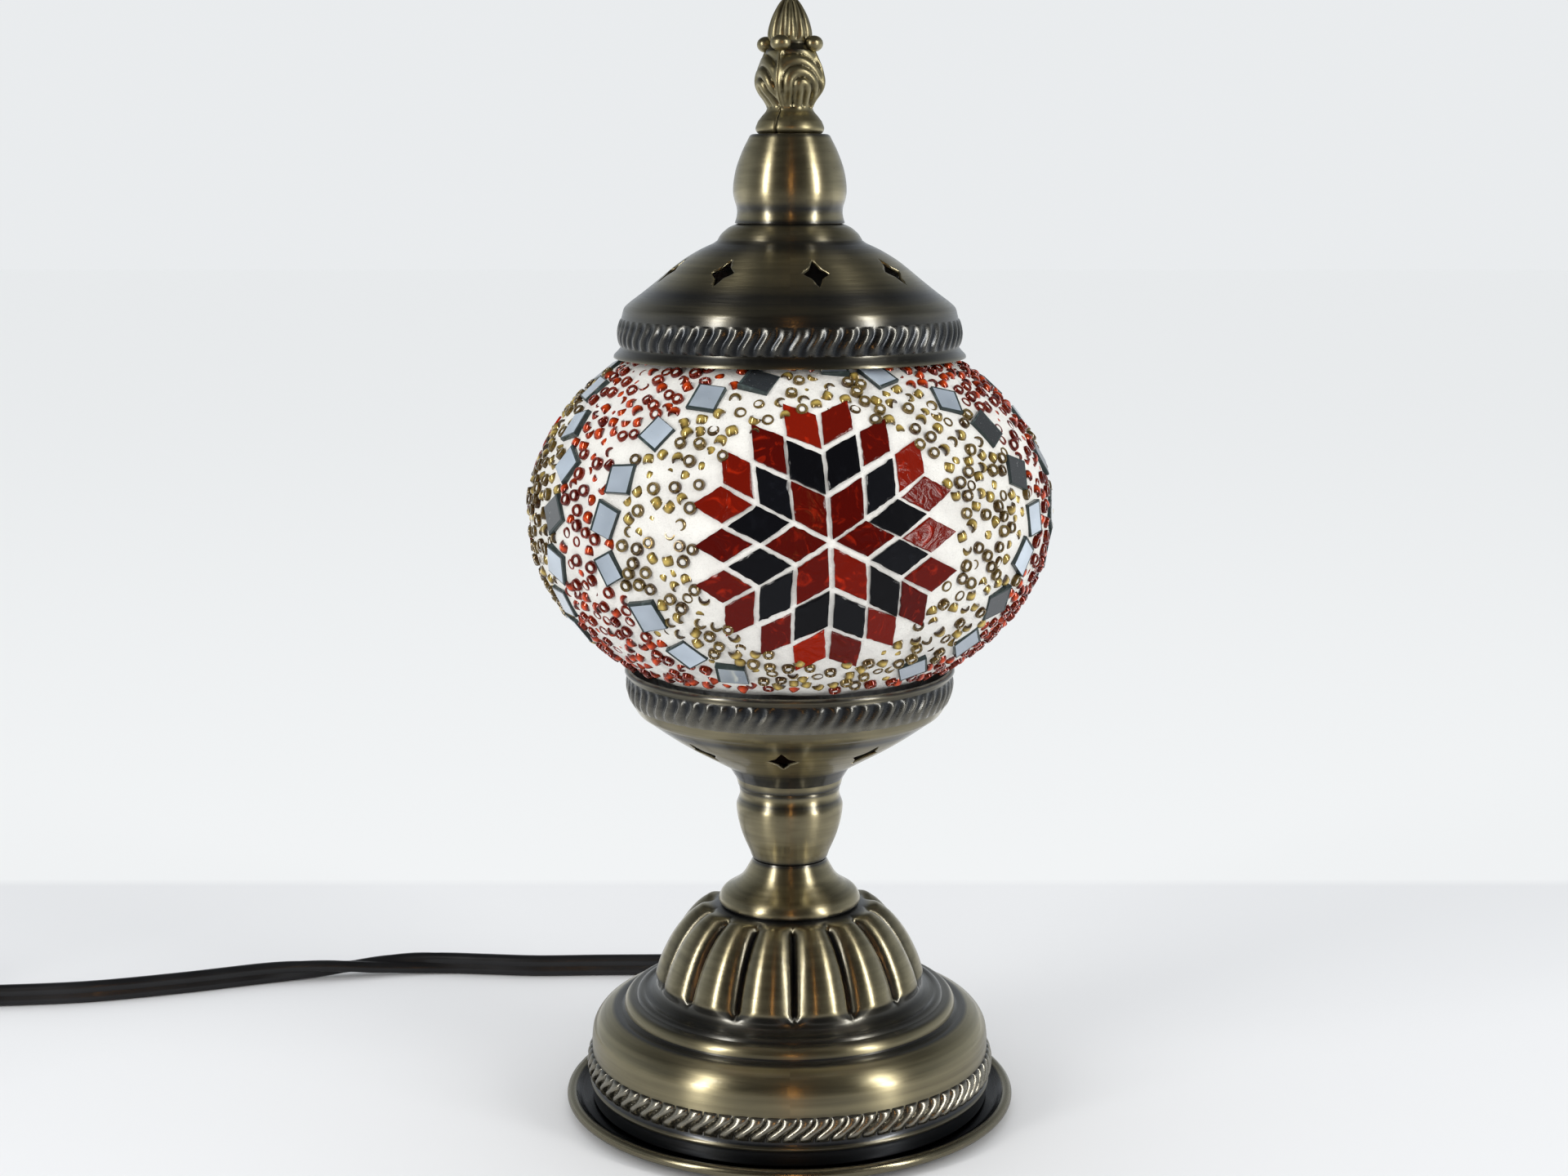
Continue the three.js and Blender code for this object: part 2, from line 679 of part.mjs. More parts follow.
const capWasherZ = CAP_TOP_Z - SHEET - GAP - WASHER_T;
const studHoleR = ROD_R + GAP;
const capWasher = ring(6, studHoleR, capWasherZ, capWasherZ + WASHER_T, SEGMENTS_TINY);
add(cap, 'cap_washer', capWasher, steel());
const capNut = hexNut(CAP_NUT_R, studHoleR, capWasherZ - GAP - CAP_NUT_T, CAP_NUT_T);
add(cap, 'cap_nut', capNut, steel());

// Cord. It leaves the strain relief, lies on the table behind the foot, and runs left through
// an in-line switch to a tied coil, whose end comes out to the plug.
const cordSet = new THREE.Group();
lamp.add(cordSet);
const switchStartX = SWITCH_X + SWITCH_L / 2;
const switchEndX = SWITCH_X - SWITCH_L / 2;
const cordEntryZ = 5.4; // into the switch
const lampToSwitch = [
  [0, 71.5, 8.5],
  [-0.6, 73.9, 8.3],
  [-4.1, 81.6, 7.1],
  [-9.7, 87.9, 5.5],
  [-17.1, 92.1, 4.1],
  [-25.3, 93.9, 3.2],
  [-40.6, 93.9, 3.1],
  [-56, 93.6, 3.1],
  [-74, 93, 3.1],
  [-88, 94.2, 3.1],
  [-101, 95.4, 3.1],
  [-113, 95.2, 3.1],
  [-126, 93, 3.1],
  [-140, 89.8, 3.1],
  [-154, 86, 3.1],
  [-176, 77.8, 3.1],
  [-200, 70.6, 3.1],
  [-224, 67.4, 3.1],
  [-238, 66, 3.5],
  [switchStartX + CORD_END_GAP, SWITCH_Y, cordEntryZ],
];
const switchToCoil = [
  [switchEndX - CORD_END_GAP, SWITCH_Y, cordEntryZ],
  [switchEndX - 8, 64.8, 4.4],
  [-330.5, 64.6, 3.8],
];
const coilToPlug = [
  [-331.2, -13, 7.9],
  [-322, -13.3, 5.6],
  [-310, -13.2, 3.7],
  [-298, -12.6, 3.5],
  [-287, -12, 5],
  [PLUG_X - CORD_END_GAP, PLUG_Y, PLUG_H / 2 + GAP],
];
add(cordSet, 'cord_lamp_to_switch', tube(lampToSwitch, CORD_R, CORD_STEP), blackPlastic());
add(cordSet, 'cord_switch_to_coil', tube(switchToCoil, CORD_R, CORD_STEP), blackPlastic());
add(cordSet, 'cord_coil_to_plug', tube(coilToPlug, CORD_R, CORD_STEP), blackPlastic());
const coil = add(
  cordSet,
  'cord_coil',
  ring(COIL_OUTER_R, COIL_INNER_R, COIL_BOTTOM_Z, COIL_TOP_Z, SEGMENTS_LARGE),
  blackPlastic(),
);
coil.position.set(COIL_X, COIL_Y, 0);

function corners(x, y) {
  const points = [[-x, -y], [x, -y], [x, y], [-x, y]];
  return points.map((p) => new THREE.Vector2(...p));
}

function tieGeometry() {
  const inX = (COIL_OUTER_R - COIL_INNER_R) / 2 + TIE_GAP;
  const inZ = (COIL_TOP_Z - COIL_BOTTOM_Z) / 2 + TIE_GAP;
  const band = new THREE.Shape(corners(inX + TIE_T, inZ + TIE_T));
  band.holes.push(new THREE.Path(corners(inX, inZ).reverse()));
  return extrude(band, TIE_W, 1).translate(0, 0, -TIE_W / 2);
}
const tie = add(cordSet, 'coil_tie', tieGeometry(), blackPlastic());
tie.position.set(
  COIL_X - (COIL_INNER_R + COIL_OUTER_R) / 2,
  COIL_Y,
  (COIL_BOTTOM_Z + COIL_TOP_Z) / 2,
);
tie.rotation.x = Math.PI / 2;

// In-line switch: two case halves, two screws and a rocker on a cross axis
const switchSet = new THREE.Group();
switchSet.position.set(SWITCH_X, SWITCH_Y, 0);
cordSet.add(switchSet);
const pocketL = ROCKER_L + 2.4;
const pocketW = ROCKER_W + 1.2;
const pocketBottomZ = SWITCH_SPLIT_Z + 1;
const screwX = SWITCH_L / 2 - SCREW_INSET;

function caseHalf(bottomZ, topZ) {
  const outline = roundedRectangle(SWITCH_L, SWITCH_W, SWITCH_CORNER_R);
  return extrude(outline, topZ - bottomZ, 3).translate(0, 0, bottomZ);
}

function box(width, depth, bottomZ, topZ) {
  const height = topZ - bottomZ;
  const geometry = new THREE.BoxGeometry(width, depth, height);
  return geometry.translate(0, 0, bottomZ + height / 2);
}

function upright(radius, bottomZ, topZ, x) {
  return disc(radius, bottomZ, topZ, SEGMENTS_TINY).translate(x, 0, 0);
}

const lowerHoles = [];
const upperHoles = [box(pocketL, pocketW, pocketBottomZ, SWITCH_TOP_Z + 1)];
const screwHeadZ = SWITCH_TOP_Z - SCREW_HEAD_T - 0.4;
for (const x of [-screwX, screwX]) {
  lowerHoles.push(upright(SCREW_R + GAP, SCREW_BOTTOM_Z - GAP, SWITCH_SPLIT_Z + 1, x));
  upperHoles.push(upright(SCREW_R + GAP, SWITCH_SPLIT_Z - 1, SWITCH_TOP_Z, x));
  upperHoles.push(upright(SCREW_HEAD_R + GAP, screwHeadZ - GAP, SWITCH_TOP_Z + 1, x));
}
const lowerCase = cut(caseHalf(SWITCH_BOTTOM_Z, SWITCH_SPLIT_Z), lowerHoles);
const upperCase = cut(caseHalf(SWITCH_SPLIT_Z + GAP, SWITCH_TOP_Z), upperHoles);
add(switchSet, 'switch_lower_case', lowerCase, blackPlastic());
add(switchSet, 'switch_upper_case', upperCase, blackPlastic());
[-screwX, screwX].forEach((x, i) => {
  const screw = revolve([
    [0, SCREW_BOTTOM_Z],
    [SCREW_R, SCREW_BOTTOM_Z],
    [SCREW_R, screwHeadZ],
    [SCREW_HEAD_R, screwHeadZ],
    [SCREW_HEAD_R, screwHeadZ + SCREW_HEAD_T],
    [0, screwHeadZ + SCREW_HEAD_T],
  ], SEGMENTS_TINY);
  add(switchSet, `switch_screw_${i + 1}`, screw, steel()).position.x = x;
});

function rockerGeometry() {
  const half = ROCKER_L / 2;
  const shape = new THREE.Shape();
  shape.moveTo(-half, 0.4);
  shape.lineTo(-5, -3);
  shape.lineTo(5, -3);
  shape.lineTo(half, 0.4);
  shape.lineTo(half, 3.4);
  shape.lineTo(0, 1.9);
  shape.lineTo(-half, 3.4);
  shape.closePath();
  return extrude(shape, ROCKER_W, 1).translate(0, 0, -ROCKER_W / 2);
}
const rockerTurn = new THREE.Group();
rockerTurn.position.z = ROCKER_Z;
rockerTurn.rotation.y = degrees(ROCKER_TILT);
switchSet.add(rockerTurn);
add(rockerTurn, 'switch_rocker', rockerGeometry(), blackPlastic()).rotation.x = Math.PI / 2;

// Plug with two flat blades, lying on its side face beside the coil
const plug = new THREE.Group();
plug.position.set(PLUG_X, PLUG_Y, PLUG_H / 2 + GAP);
cordSet.add(plug);
const plugOutline = new THREE.Shape();
plugOutline.moveTo(0, -5);
plugOutline.lineTo(8, -PLUG_W / 2 + 2);
plugOutline.lineTo(11, -PLUG_W / 2);
plugOutline.lineTo(PLUG_L, -PLUG_W / 2);
plugOutline.lineTo(PLUG_L, PLUG_W / 2);
plugOutline.lineTo(11, PLUG_W / 2);
plugOutline.lineTo(8, PLUG_W / 2 - 2);
plugOutline.lineTo(0, 5);
plugOutline.closePath();
const plugBody = extrude(plugOutline, PLUG_H, 1).translate(0, 0, -PLUG_H / 2);
add(plug, 'plug_body', plugBody, blackPlastic());
['left', 'right'].forEach((side, i) => {
  const blade = new THREE.BoxGeometry(BLADE_L, BLADE_T, BLADE_W);
  const mesh = add(plug, `plug_blade_${side}`, blade, brightBrass());
  mesh.position.set(PLUG_L + GAP + BLADE_L / 2, (i - 0.5) * BLADE_SPACING, 0);
});

export default lamp;
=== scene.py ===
"""Mosaic glass table lamp: its looks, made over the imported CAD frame.

Blender works in metres. Outlines are lists of (radius, height) in millimetres in the same
frame, and an angle round the lamp is measured from the front (-Y) towards the right (+X).
"""
import math
import random

import bmesh
import bpy
import numpy as np
from mathutils import Matrix, Vector


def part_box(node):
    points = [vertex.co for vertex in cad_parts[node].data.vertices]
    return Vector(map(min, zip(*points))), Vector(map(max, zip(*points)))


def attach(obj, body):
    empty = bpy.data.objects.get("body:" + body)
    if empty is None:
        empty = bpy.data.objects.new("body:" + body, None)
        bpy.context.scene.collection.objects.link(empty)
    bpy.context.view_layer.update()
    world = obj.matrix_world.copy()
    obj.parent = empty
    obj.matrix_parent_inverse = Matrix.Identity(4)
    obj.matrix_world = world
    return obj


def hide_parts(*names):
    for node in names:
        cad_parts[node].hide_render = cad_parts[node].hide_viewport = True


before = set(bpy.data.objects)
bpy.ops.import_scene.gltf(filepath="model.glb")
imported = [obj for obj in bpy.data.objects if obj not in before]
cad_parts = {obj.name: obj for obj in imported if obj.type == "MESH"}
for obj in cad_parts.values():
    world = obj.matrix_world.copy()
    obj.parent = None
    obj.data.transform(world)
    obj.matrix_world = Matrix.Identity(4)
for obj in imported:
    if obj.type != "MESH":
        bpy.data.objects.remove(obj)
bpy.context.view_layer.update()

MM = 0.001
FULL_TURN = 2 * math.pi

# The camera stands where the photograph's did
CAMERA_PLACE = (-0.0014, -0.5628, 0.2296)
CAMERA_PITCH = math.radians(80.191)
CAMERA_LENS = 53.25

DEEP_PATINA = 0.85  # in creases and on the inside of shells

# The mosaic's surface is a ball that is flattened along Z
GLOBE_LOW, GLOBE_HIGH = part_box("mosaic_layer")
GLOBE_Z = (GLOBE_LOW.z + GLOBE_HIGH.z) / 2 / MM
GLOBE_R = GLOBE_HIGH.x / MM
GROUT_R = GLOBE_R - 1.4
GROUT_FLATTENING = 0.745  # half height over half width
GROUT_EDGE_R = 36.8
MEDALLIONS = 3
MEDALLION_AZIMUTH = 8.0  # of the front star, degrees right of the front
MEDALLION_LATITUDE = 1.0
MEDALLION_STRETCH = 0.12  # upwards, as the ball bends more that way
RING_AZIMUTH = 11.0  # the mirror ring isn't quite round its star
RING_RADIUS = 50.5  # degrees
RING_TILES = 21
RING_LOWEST = -49  # degrees of latitude, for what shows between the bowl and the cap
BEADS_LOWEST = -50
MOSAIC_HIGHEST = 54

CORD_WIDTH = 6.2
CORD_THICKNESS = 3.4


# ---------------------------------------------------------------- mesh helpers

def link(obj):
    bpy.context.scene.collection.objects.link(obj)
    return obj


def node_box(name):
    """A CAD node's lowest and highest corner, in mm."""
    low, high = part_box(name)
    return low / MM, high / MM


def set_creases(mesh, degrees):
    """Smooth shading, with a crease where faces meet at more than the given angle."""
    mesh.shade_smooth()
    mesh.set_sharp_from_angle(angle=math.radians(degrees))


def object_from(name, mesh, shell, sharp_degrees):
    """An object with a bmesh's faces, all turned outwards."""
    bmesh.ops.recalc_face_normals(shell, faces=shell.faces)
    shell.to_mesh(mesh)
    shell.free()
    set_creases(mesh, sharp_degrees)
    return link(bpy.data.objects.new(name, mesh))


def mesh_object(name, vertices, faces, sharp_degrees=40):
    mesh = bpy.data.meshes.new(name)
    mesh.from_pydata([tuple(v) for v in vertices], [], faces)
    shell = bmesh.new()
    shell.from_mesh(mesh)
    return object_from(name, mesh, shell, sharp_degrees)


def strip_faces(rings, count, closed=False):
    """Faces between rings of count vertices each; closed joins the last ring to the first."""
    faces = []
    for ring in range(rings if closed else rings - 1):
        low = ring * count
        high = (ring + 1) % rings * count
        for i in range(count):
            k = (i + 1) % count
            faces.append((low + i, low + k, high + k, high + i))
    return faces


def tube_faces(rings, count):
    """Faces between the rings, and the two that close the ends."""
    first = tuple(range(count))[::-1]
    last = tuple(range((rings - 1) * count, rings * count))
    return [first, last, *strip_faces(rings, count)]


def circle(steps):
    """The cosine and sine of equally spaced angles."""
    angles = [FULL_TURN * i / steps for i in range(steps)]
    return [(math.cos(a), math.sin(a)) for a in angles]


def squared(value, power):
    """A cosine or sine for an outline that is squarer the lower the power."""
    return math.copysign(abs(value) ** power, value)


def move(obj, place, turn=Matrix()):
    """Turns a mesh about the origin, and then moves it to a place in mm."""
    obj.data.transform(Matrix.Translation(Vector(place) * MM) @ turn)
    return obj


def curve(points, step=0.5):
    """A smooth line through a few points, with a point about every step."""
    knots = np.array([points[0], *points, points[-1]], float)
    line = [knots[1]]
    for a, b, c, d in zip(knots, knots[1:], knots[2:], knots[3:]):
        count = max(1, math.ceil(np.linalg.norm(c - b) / step))
        for i in range(1, count + 1):
            t = i / count
            line.append(0.5 * (2 * b + (c - a) * t + (2 * a - 5 * b + 4 * c - d) * t * t
                               + (3 * b - a - 3 * c + d) * t ** 3))
    return [tuple(p) for p in line]


def rounded(points, radius=0.3, steps=3):
    """The same line with each inner corner replaced by a small curve."""
    line = [points[0]]
    for before, corner, after in zip(points, points[1:], points[2:]):
        here = Vector(corner)
        into = Vector(before) - here
        out = Vector(after) - here
        reach = min(radius, into.length / 2, out.length / 2)
        start = here + into.normalized() * reach
        end = here + out.normalized() * reach
        for i in range(steps + 1):
            t = i / steps
            line.append(tuple(start * (1 - t) ** 2 + here * 2 * t * (1 - t) + end * t * t))
    line.append(points[-1])
    return line


def profile_normals(line):
    """Unit normals to the left of a profile's direction, as rows of (radial, upward)."""
    along = np.gradient(np.array(line, float), axis=0)
    length = np.maximum(np.linalg.norm(along, axis=1, keepdims=True), 1e-9)
    along = along / length
    return np.stack([along[:, 1], -along[:, 0]], axis=1)


def turned(name, outer, inner=(), segments=192, relief=None, sharp_degrees=40):
    """A body turned about Z from an outer profile, bottom to top, and an inner one that
    leads back down. relief(angles, outer) gives how far the outer surface stands out and
    how much dark patina it holds; the inside holds much. A profile with no inner one starts
    and ends on the axis."""
    outer = [tuple(p) for p in outer]
    loop = np.array([*outer, *inner], float)
    angles = np.arange(segments) * FULL_TURN / segments
    radius = np.repeat(loop[:, :1], segments, axis=1)
    height = np.repeat(loop[:, 1:], segments, axis=1)
    patina = np.zeros_like(radius)
    patina[len(outer):] = DEEP_PATINA
    if relief:
        push, dark = relief(angles, np.array(outer, float))
        normals = profile_normals(outer)
        radius[:len(outer)] += push * normals[:, :1]
        height[:len(outer)] += push * normals[:, 1:]
        patina[:len(outer)] = dark
    closed = bool(len(inner)) or loop[0, 0] > 0
    rows = list(range(len(loop))) if closed else list(range(1, len(loop) - 1))
    x = radius[rows] * np.sin(angles) * MM
    y = -radius[rows] * np.cos(angles) * MM
    z = height[rows] * MM
    vertices = np.stack([x, y, z], axis=-1).reshape(-1, 3).tolist()
    shades = patina[rows].reshape(-1).tolist()
    faces = strip_faces(len(rows), segments, closed)
    if not closed:
        top = (len(rows) - 1) * segments
        vertices += [(0, 0, loop[0, 1] * MM), (0, 0, loop[-1, 1] * MM)]
        shades += [0, 0]
        for j in range(segments):
            k = (j + 1) % segments
            faces.append((len(vertices) - 2, k, j))
            faces.append((len(vertices) - 1, top + j, top + k))
    return hold(mesh_object(name, vertices, faces, sharp_degrees), "patina", shades)


def hold(obj, name, values):
    """Stores a value for each point of a mesh, for its material to read."""
    obj.data.attributes.new(name, "FLOAT", "POINT").data.foreach_set("value", values)
    return obj


def rod(name, radius, low, high, segments):
    return turned(name, [(0, low), (radius, low), (radius, high), (0, high)], (), segments)


def inset(line, wall):
    """The line moved in by a wall's thickness and reversed, as the inner profile of a shell."""
    inner = np.array(line, float) - profile_normals(line) * wall
    return [tuple(p) for p in inner[::-1]]


def cut_with(obj, cutters):
    """Cuts the cutters out of an object and keeps its patina."""
    for cutter in cutters:
        modifier = obj.modifiers.new("cut", "BOOLEAN")
        modifier.operation = "DIFFERENCE"
        modifier.solver = "EXACT"
        modifier.object = cutter
    keep_modified(obj)
    for cutter in cutters:
        bpy.data.objects.remove(cutter)
    return obj


def keep_modified(obj):
    """Replaces an object's mesh by what its modifiers make of it."""
    graph = bpy.context.evaluated_depsgraph_get()
    mesh = bpy.data.meshes.new_from_object(obj.evaluated_get(graph))
    obj.modifiers.clear()
    obj.data = mesh
    return obj


def smoothstep(low, high, value):
    t = np.clip((value - low) / (high - low), 0, 1)
    return t * t * (3 - 2 * t)


def bump_between(low, high, edge, value):
    """1 between low and high, fading to 0 outside over the edge."""
    return smoothstep(low - edge, low, value) * (1 - smoothstep(high, high + edge, value))


def bell(value, half_width):
    """1 at zero, fading to 0 on both sides."""
    return np.exp(-((value / half_width) ** 2))


def off_nearest(degrees, count, turn):
    """Degrees from the nearest of count equal places round the lamp, one of them at turn."""
    spacing = 360 / count
    return (degrees - turn + spacing / 2) % spacing - spacing / 2


def finish_piece(obj, body, slot, material, *nodes):
    """Puts a finished piece on its body, with its material, in place of its CAD nodes."""
    obj.data.materials.clear()
    for each in material if isinstance(material, (list, tuple)) else [material]:
        obj.data.materials.append(each)
    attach(obj, body)
    if nodes:
        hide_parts(*nodes)
    return obj


# ------------------------------------------------------------ camera and stage

def make_camera():
    data = bpy.data.cameras.new("camera")
    data.lens = CAMERA_LENS
    data.sensor_width = 36
    data.clip_start = 0.01
    camera = link(bpy.data.objects.new("camera", data))
    camera.location = CAMERA_PLACE
    camera.rotation_euler = (CAMERA_PITCH, 0, 0)
    bpy.context.scene.camera = camera


class Shading:
    """A node tree, and a short word for each kind of node that the looks are made of."""

    def __init__(self, owner):
        owner.use_nodes = True
        self.tree = owner.node_tree
        self.place = self.node("ShaderNodeTexCoord").outputs["Object"]

    def node(self, kind, inputs=None, **settings):
        """A new node. Each input is a value, or another node's output to link to it."""
        made = self.tree.nodes.new(kind)
        for key, value in settings.items():
            setattr(made, key, value)
        for key, value in (inputs or {}).items():
            self.feed(made.inputs[key], value)
        return made

    def feed(self, socket, value):
        if isinstance(value, bpy.types.NodeSocket):
            self.tree.links.new(value, socket)
        else:
            socket.default_value = value

    def math(self, operation, a, b=0.0):
        return self.node("ShaderNodeMath", {0: a, 1: b}, operation=operation).outputs[0]

    def times(self, a, b):
        return self.math("MULTIPLY", a, b)

    def plus(self, a, b):
        return self.math("ADD", a, b)

    def clamp(self, value):
        return self.node("ShaderNodeClamp", {"Value": value}).outputs[0]

    def ramp(self, value, low, high):
        inputs = {"Value": value, "From Min": low, "From Max": high}
        return self.node("ShaderNodeMapRange", inputs).outputs[0]

    def split(self, vector):
        return self.node("ShaderNodeSeparateXYZ", {0: vector}).outputs

    def join(self, *parts):
        return self.node("ShaderNodeCombineXYZ", dict(enumerate(parts))).outputs[0]

    def length(self, vector):
        return self.node("ShaderNodeVectorMath", {0: vector}, operation="LENGTH").outputs["Value"]

    def noise(self, scale, detail=2.0, roughness=0.5, at=None, distortion=0.0):
        inputs = {"Vector": at or self.place, "Scale": scale, "Detail": detail,
                  "Roughness": roughness, "Distortion": distortion}
        return self.node("ShaderNodeTexNoise", inputs).outputs[0]

    def mix(self, factor, a, b):
        """A colour between two, each given as (red, green, blue) or as an output."""
        made = self.node("ShaderNodeMix", {0: factor}, data_type="RGBA")
        for socket, colour in ((made.inputs[6], a), (made.inputs[7], b)):
            self.feed(socket, (*colour, 1) if isinstance(colour, tuple) else colour)
        return made.outputs[2]

    def rays(self, kind):
        return self.node("ShaderNodeLightPath").outputs[kind]


class Material(Shading):
    """A principled material: its constant values, and then what its textures drive."""

    def __init__(self, name, **values):
        self.made = bpy.data.materials.new(name)
        super().__init__(self.made)
        self.shader = self.tree.nodes["Principled BSDF"]
        for key, value in values.items():
            self.shader.inputs[key.replace("_", " ")].default_value = value

    def held(self, attribute):
        """A value that the mesh holds at each point."""
        return self.node("ShaderNodeAttribute", attribute_name=attribute).outputs["Fac"]

    def drive(self, socket, output):
        self.feed(self.shader.inputs[socket], output)

    def colour(self, factor, a, b):
        self.drive("Base Color", self.mix(factor, a, b))

    def roughness(self, pattern, middle, spread):
        self.drive("Roughness", self.plus(self.times(pattern, spread), middle - spread / 2))

    def bump(self, height, distance):
        made = self.node("ShaderNodeBump", {"Height": height, "Distance": distance})
        self.drive("Normal", made.outputs[0])


FLOOR_HALF = 6.0
TABLE_END = 0.186  # where the backdrop sheet begins, behind the lamp
LAMP_MIDDLE = 0.14
NEARLY_BLACK = (0.02, 0.02, 0.02)


def make_floor():
    """A pale table top with a paler backdrop sheet beyond it. Further off it is as pale as
    the backdrop. What shines sees it darker, as a real table ends in a dim room."""
    floor = Material("floor_white", Roughness=0.7, Specular_IOR_Level=0.2)
    y = floor.split(floor.place)[1]
    beyond = floor.ramp(y, TABLE_END - 0.004, TABLE_END + 0.004)
    grain = floor.times(floor.noise(9), 0.25)
    table = floor.mix(grain, (0.80, 0.805, 0.82), (0.77, 0.775, 0.79))
    in_front = floor.math("SUBTRACT", 1.0, floor.ramp(y, -0.4, 0.05))
    unlit = floor.plus(floor.times(in_front, 0.45), 0.4)
    table = floor.mix(floor.times(floor.rays("Is Glossy Ray"), unlit), table, NEARLY_BLACK)
    far = floor.times(floor.ramp(floor.length(floor.place), 0.33, 0.65), floor.rays("Is Camera Ray"))
    far = floor.times(far, floor.math("SUBTRACT", 1.0, beyond))
    floor.colour(far, floor.mix(beyond, table, (0.3, 0.3, 0.3)), NEARLY_BLACK)
    floor.drive("Emission Color", (0.83, 0.85, 0.86, 1))
    floor.drive("Emission Strength", floor.math("MAXIMUM", floor.times(beyond, 0.69), far))
    half = FLOOR_HALF
    corners = [(-half, -half, 0), (half, -half, 0), (half, half, 0), (-half, half, 0)]
    sheet = mesh_object("floor", corners, [(0, 1, 2, 3)])
    sheet.data.materials.append(floor.made)


def make_world():
    """A pale studio. What shines sees the dark room in front of the lamp as well."""
    world = bpy.data.worlds.new("studio")
    sky = Shading(world)
    y, z = sky.split(sky.node("ShaderNodeTexCoord").outputs["Generated"])[1:]
    front = sky.ramp(sky.times(y, -1.0), -0.35, 0.45)
    above = sky.ramp(z, 0.15, 0.7)
    dark = sky.math("MAXIMUM", front, sky.times(above, 0.95))
    room = sky.mix(dark, (0.46, 0.49, 0.52), (0.03, 0.029, 0.027))
    background = sky.tree.nodes["Background"]
    seen = sky.mix(sky.rays("Is Glossy Ray"), (0.845, 0.865, 0.88), room)
    sky.feed(background.inputs["Color"], seen)
    sky.feed(background.inputs["Strength"], 0.97)
    bpy.context.scene.world = world


def softbox(name, azimuth, distance, height, width, tall, power, colour, in_reflections=True):
    """A rectangular light aimed at the lamp's middle, in metres and watts."""
    data = bpy.data.lights.new(name, "AREA")
    data.shape = "RECTANGLE"
    data.size = width
    data.size_y = tall
    data.energy = power
    data.color = colour
    light = link(bpy.data.objects.new(name, data))
    light.visible_glossy = in_reflections
    angle = math.radians(azimuth)
    light.location = (distance * math.sin(angle), -distance * math.cos(angle), height)
    aim = Vector((0, 0, LAMP_MIDDLE)) - light.location
    light.rotation_euler = aim.to_track_quat("-Z", "Y").to_euler()


def make_lights():
    softbox("softbox_left", -51, 1.0, 0.45, 0.13, 0.8, 4.6, (1, 0.985, 0.95))
    softbox("softbox_right", 56, 1.0, 0.45, 0.12, 0.8, 4.6, (1, 0.99, 0.96))
    softbox("warm_lamp", 2, 1.3, 0.4, 0.03, 0.5, 0.5, (1, 0.48, 0.14))
    softbox("top_light", 180, 0.5, 1.3, 0.9, 0.9, 1.2, (1, 1, 1), False)


make_camera()
make_floor()
make_world()
make_lights()
bpy.context.scene.view_settings.view_transform = "Standard"


# -------------------------------------------------------------------- the cord

LAMP_TO_SWITCH = [
    (0, 71.5, 8.5), (-0.6, 73.9, 8.3), (-4.1, 81.6, 7.1), (-9.7, 87.9, 5.5), (-17.1, 92.1, 4.1),
    (-25.3, 93.9, 3.2), (-40.6, 93.9, 3.1), (-56, 93.6, 3.1), (-74, 93, 3.1), (-88, 94.2, 3.1),
    (-101, 95.4, 3.1), (-113, 95.2, 3.1), (-126, 93, 3.1), (-140, 89.8, 3.1), (-154, 86, 3.1),
    (-176, 77.8, 3.1), (-200, 70.6, 3.1), (-224, 67.4, 3.1), (-238, 66, 3.5), (-251.2, 65, 5.4),
]
SWITCH_TO_COIL = [(-283, 65, 5.6), (-314.8, 65, 5.4), (-322, 64.8, 4.4), (-330.5, 64.6, 3.9)]
COIL_TO_PLUG = [
    (-331.2, -13, 7.9), (-322, -13.3, 5.6), (-310, -13.2, 3.7), (-298, -12.6, 3.5),
    (-287, -12, 5), (-276.8, -11.9, 7.3),
]
COIL_TURNS = 6.5
COIL_POINTS_PER_TURN = 24
COIL_GAP = 0.1  # between one turn and the next
COIL_MARGIN = 0.25  # inside the CAD coil


def coil_route():
    """Two layers: in along the table, up at the middle of its turns, and out on top."""
    low, high = node_box("cord_coil")
    centre = (low + high) / 2
    outer_r = (high.x - low.x) / 2 - CORD_THICKNESS / 2 - COIL_MARGIN
    inner_r = outer_r - COIL_TURNS / 2 * (CORD_THICKNESS + COIL_GAP)
    lower_z = low.z + CORD_WIDTH / 2
    upper_z = high.z - CORD_WIDTH / 2
    route = []
    count = round(COIL_TURNS * COIL_POINTS_PER_TURN)
    for i in range(count + 1):
        t = i / count
        angle = FULL_TURN * (0.25 + COIL_TURNS * t)
        radius = inner_r + (outer_r - inner_r) * abs(2 * t - 1)
        z = lower_z + (upper_z - lower_z) * float(smoothstep(0.475, 0.525, t))
        route.append((centre.x + radius * math.cos(angle), centre.y + radius * math.sin(angle), z))
    return route


def flat_twin_section(steps=7):
    """Two round conductors side by side, as (across the width, across the thickness)."""
    lobe = CORD_THICKNESS / 2
    centre = CORD_WIDTH / 2 - lobe
    reach = math.radians(145)
    section = []
    for side in (1, -1):
        for i in range(steps + 1):
            angle = -reach + 2 * reach * i / steps
            along = side * (centre + lobe * math.cos(angle))
            section.append((along, side * lobe * math.sin(angle)))
    return section


def swept(name, path, section, lean):
    """A closed tube of the section along the path. lean(point) is the section's turn from
    standing on edge, in radians."""
    path = np.array(path, float)
    along = np.gradient(path, axis=0)
    along /= np.linalg.norm(along, axis=1, keepdims=True)
    vertices = []
    for point, direction in zip(path, along):
        side = Vector(direction).cross(Vector((0, 0, 1))).normalized()
        up = side.cross(Vector(direction)).normalized()
        turn = Matrix.Rotation(lean(point), 3, Vector(direction))
        wide, thick = turn @ up, turn @ side
        for a, b in section:
            vertices.append((Vector(point) + wide * a + thick * b) * MM)
    return mesh_object(name, vertices, tube_faces(len(path), len(section)), 70)


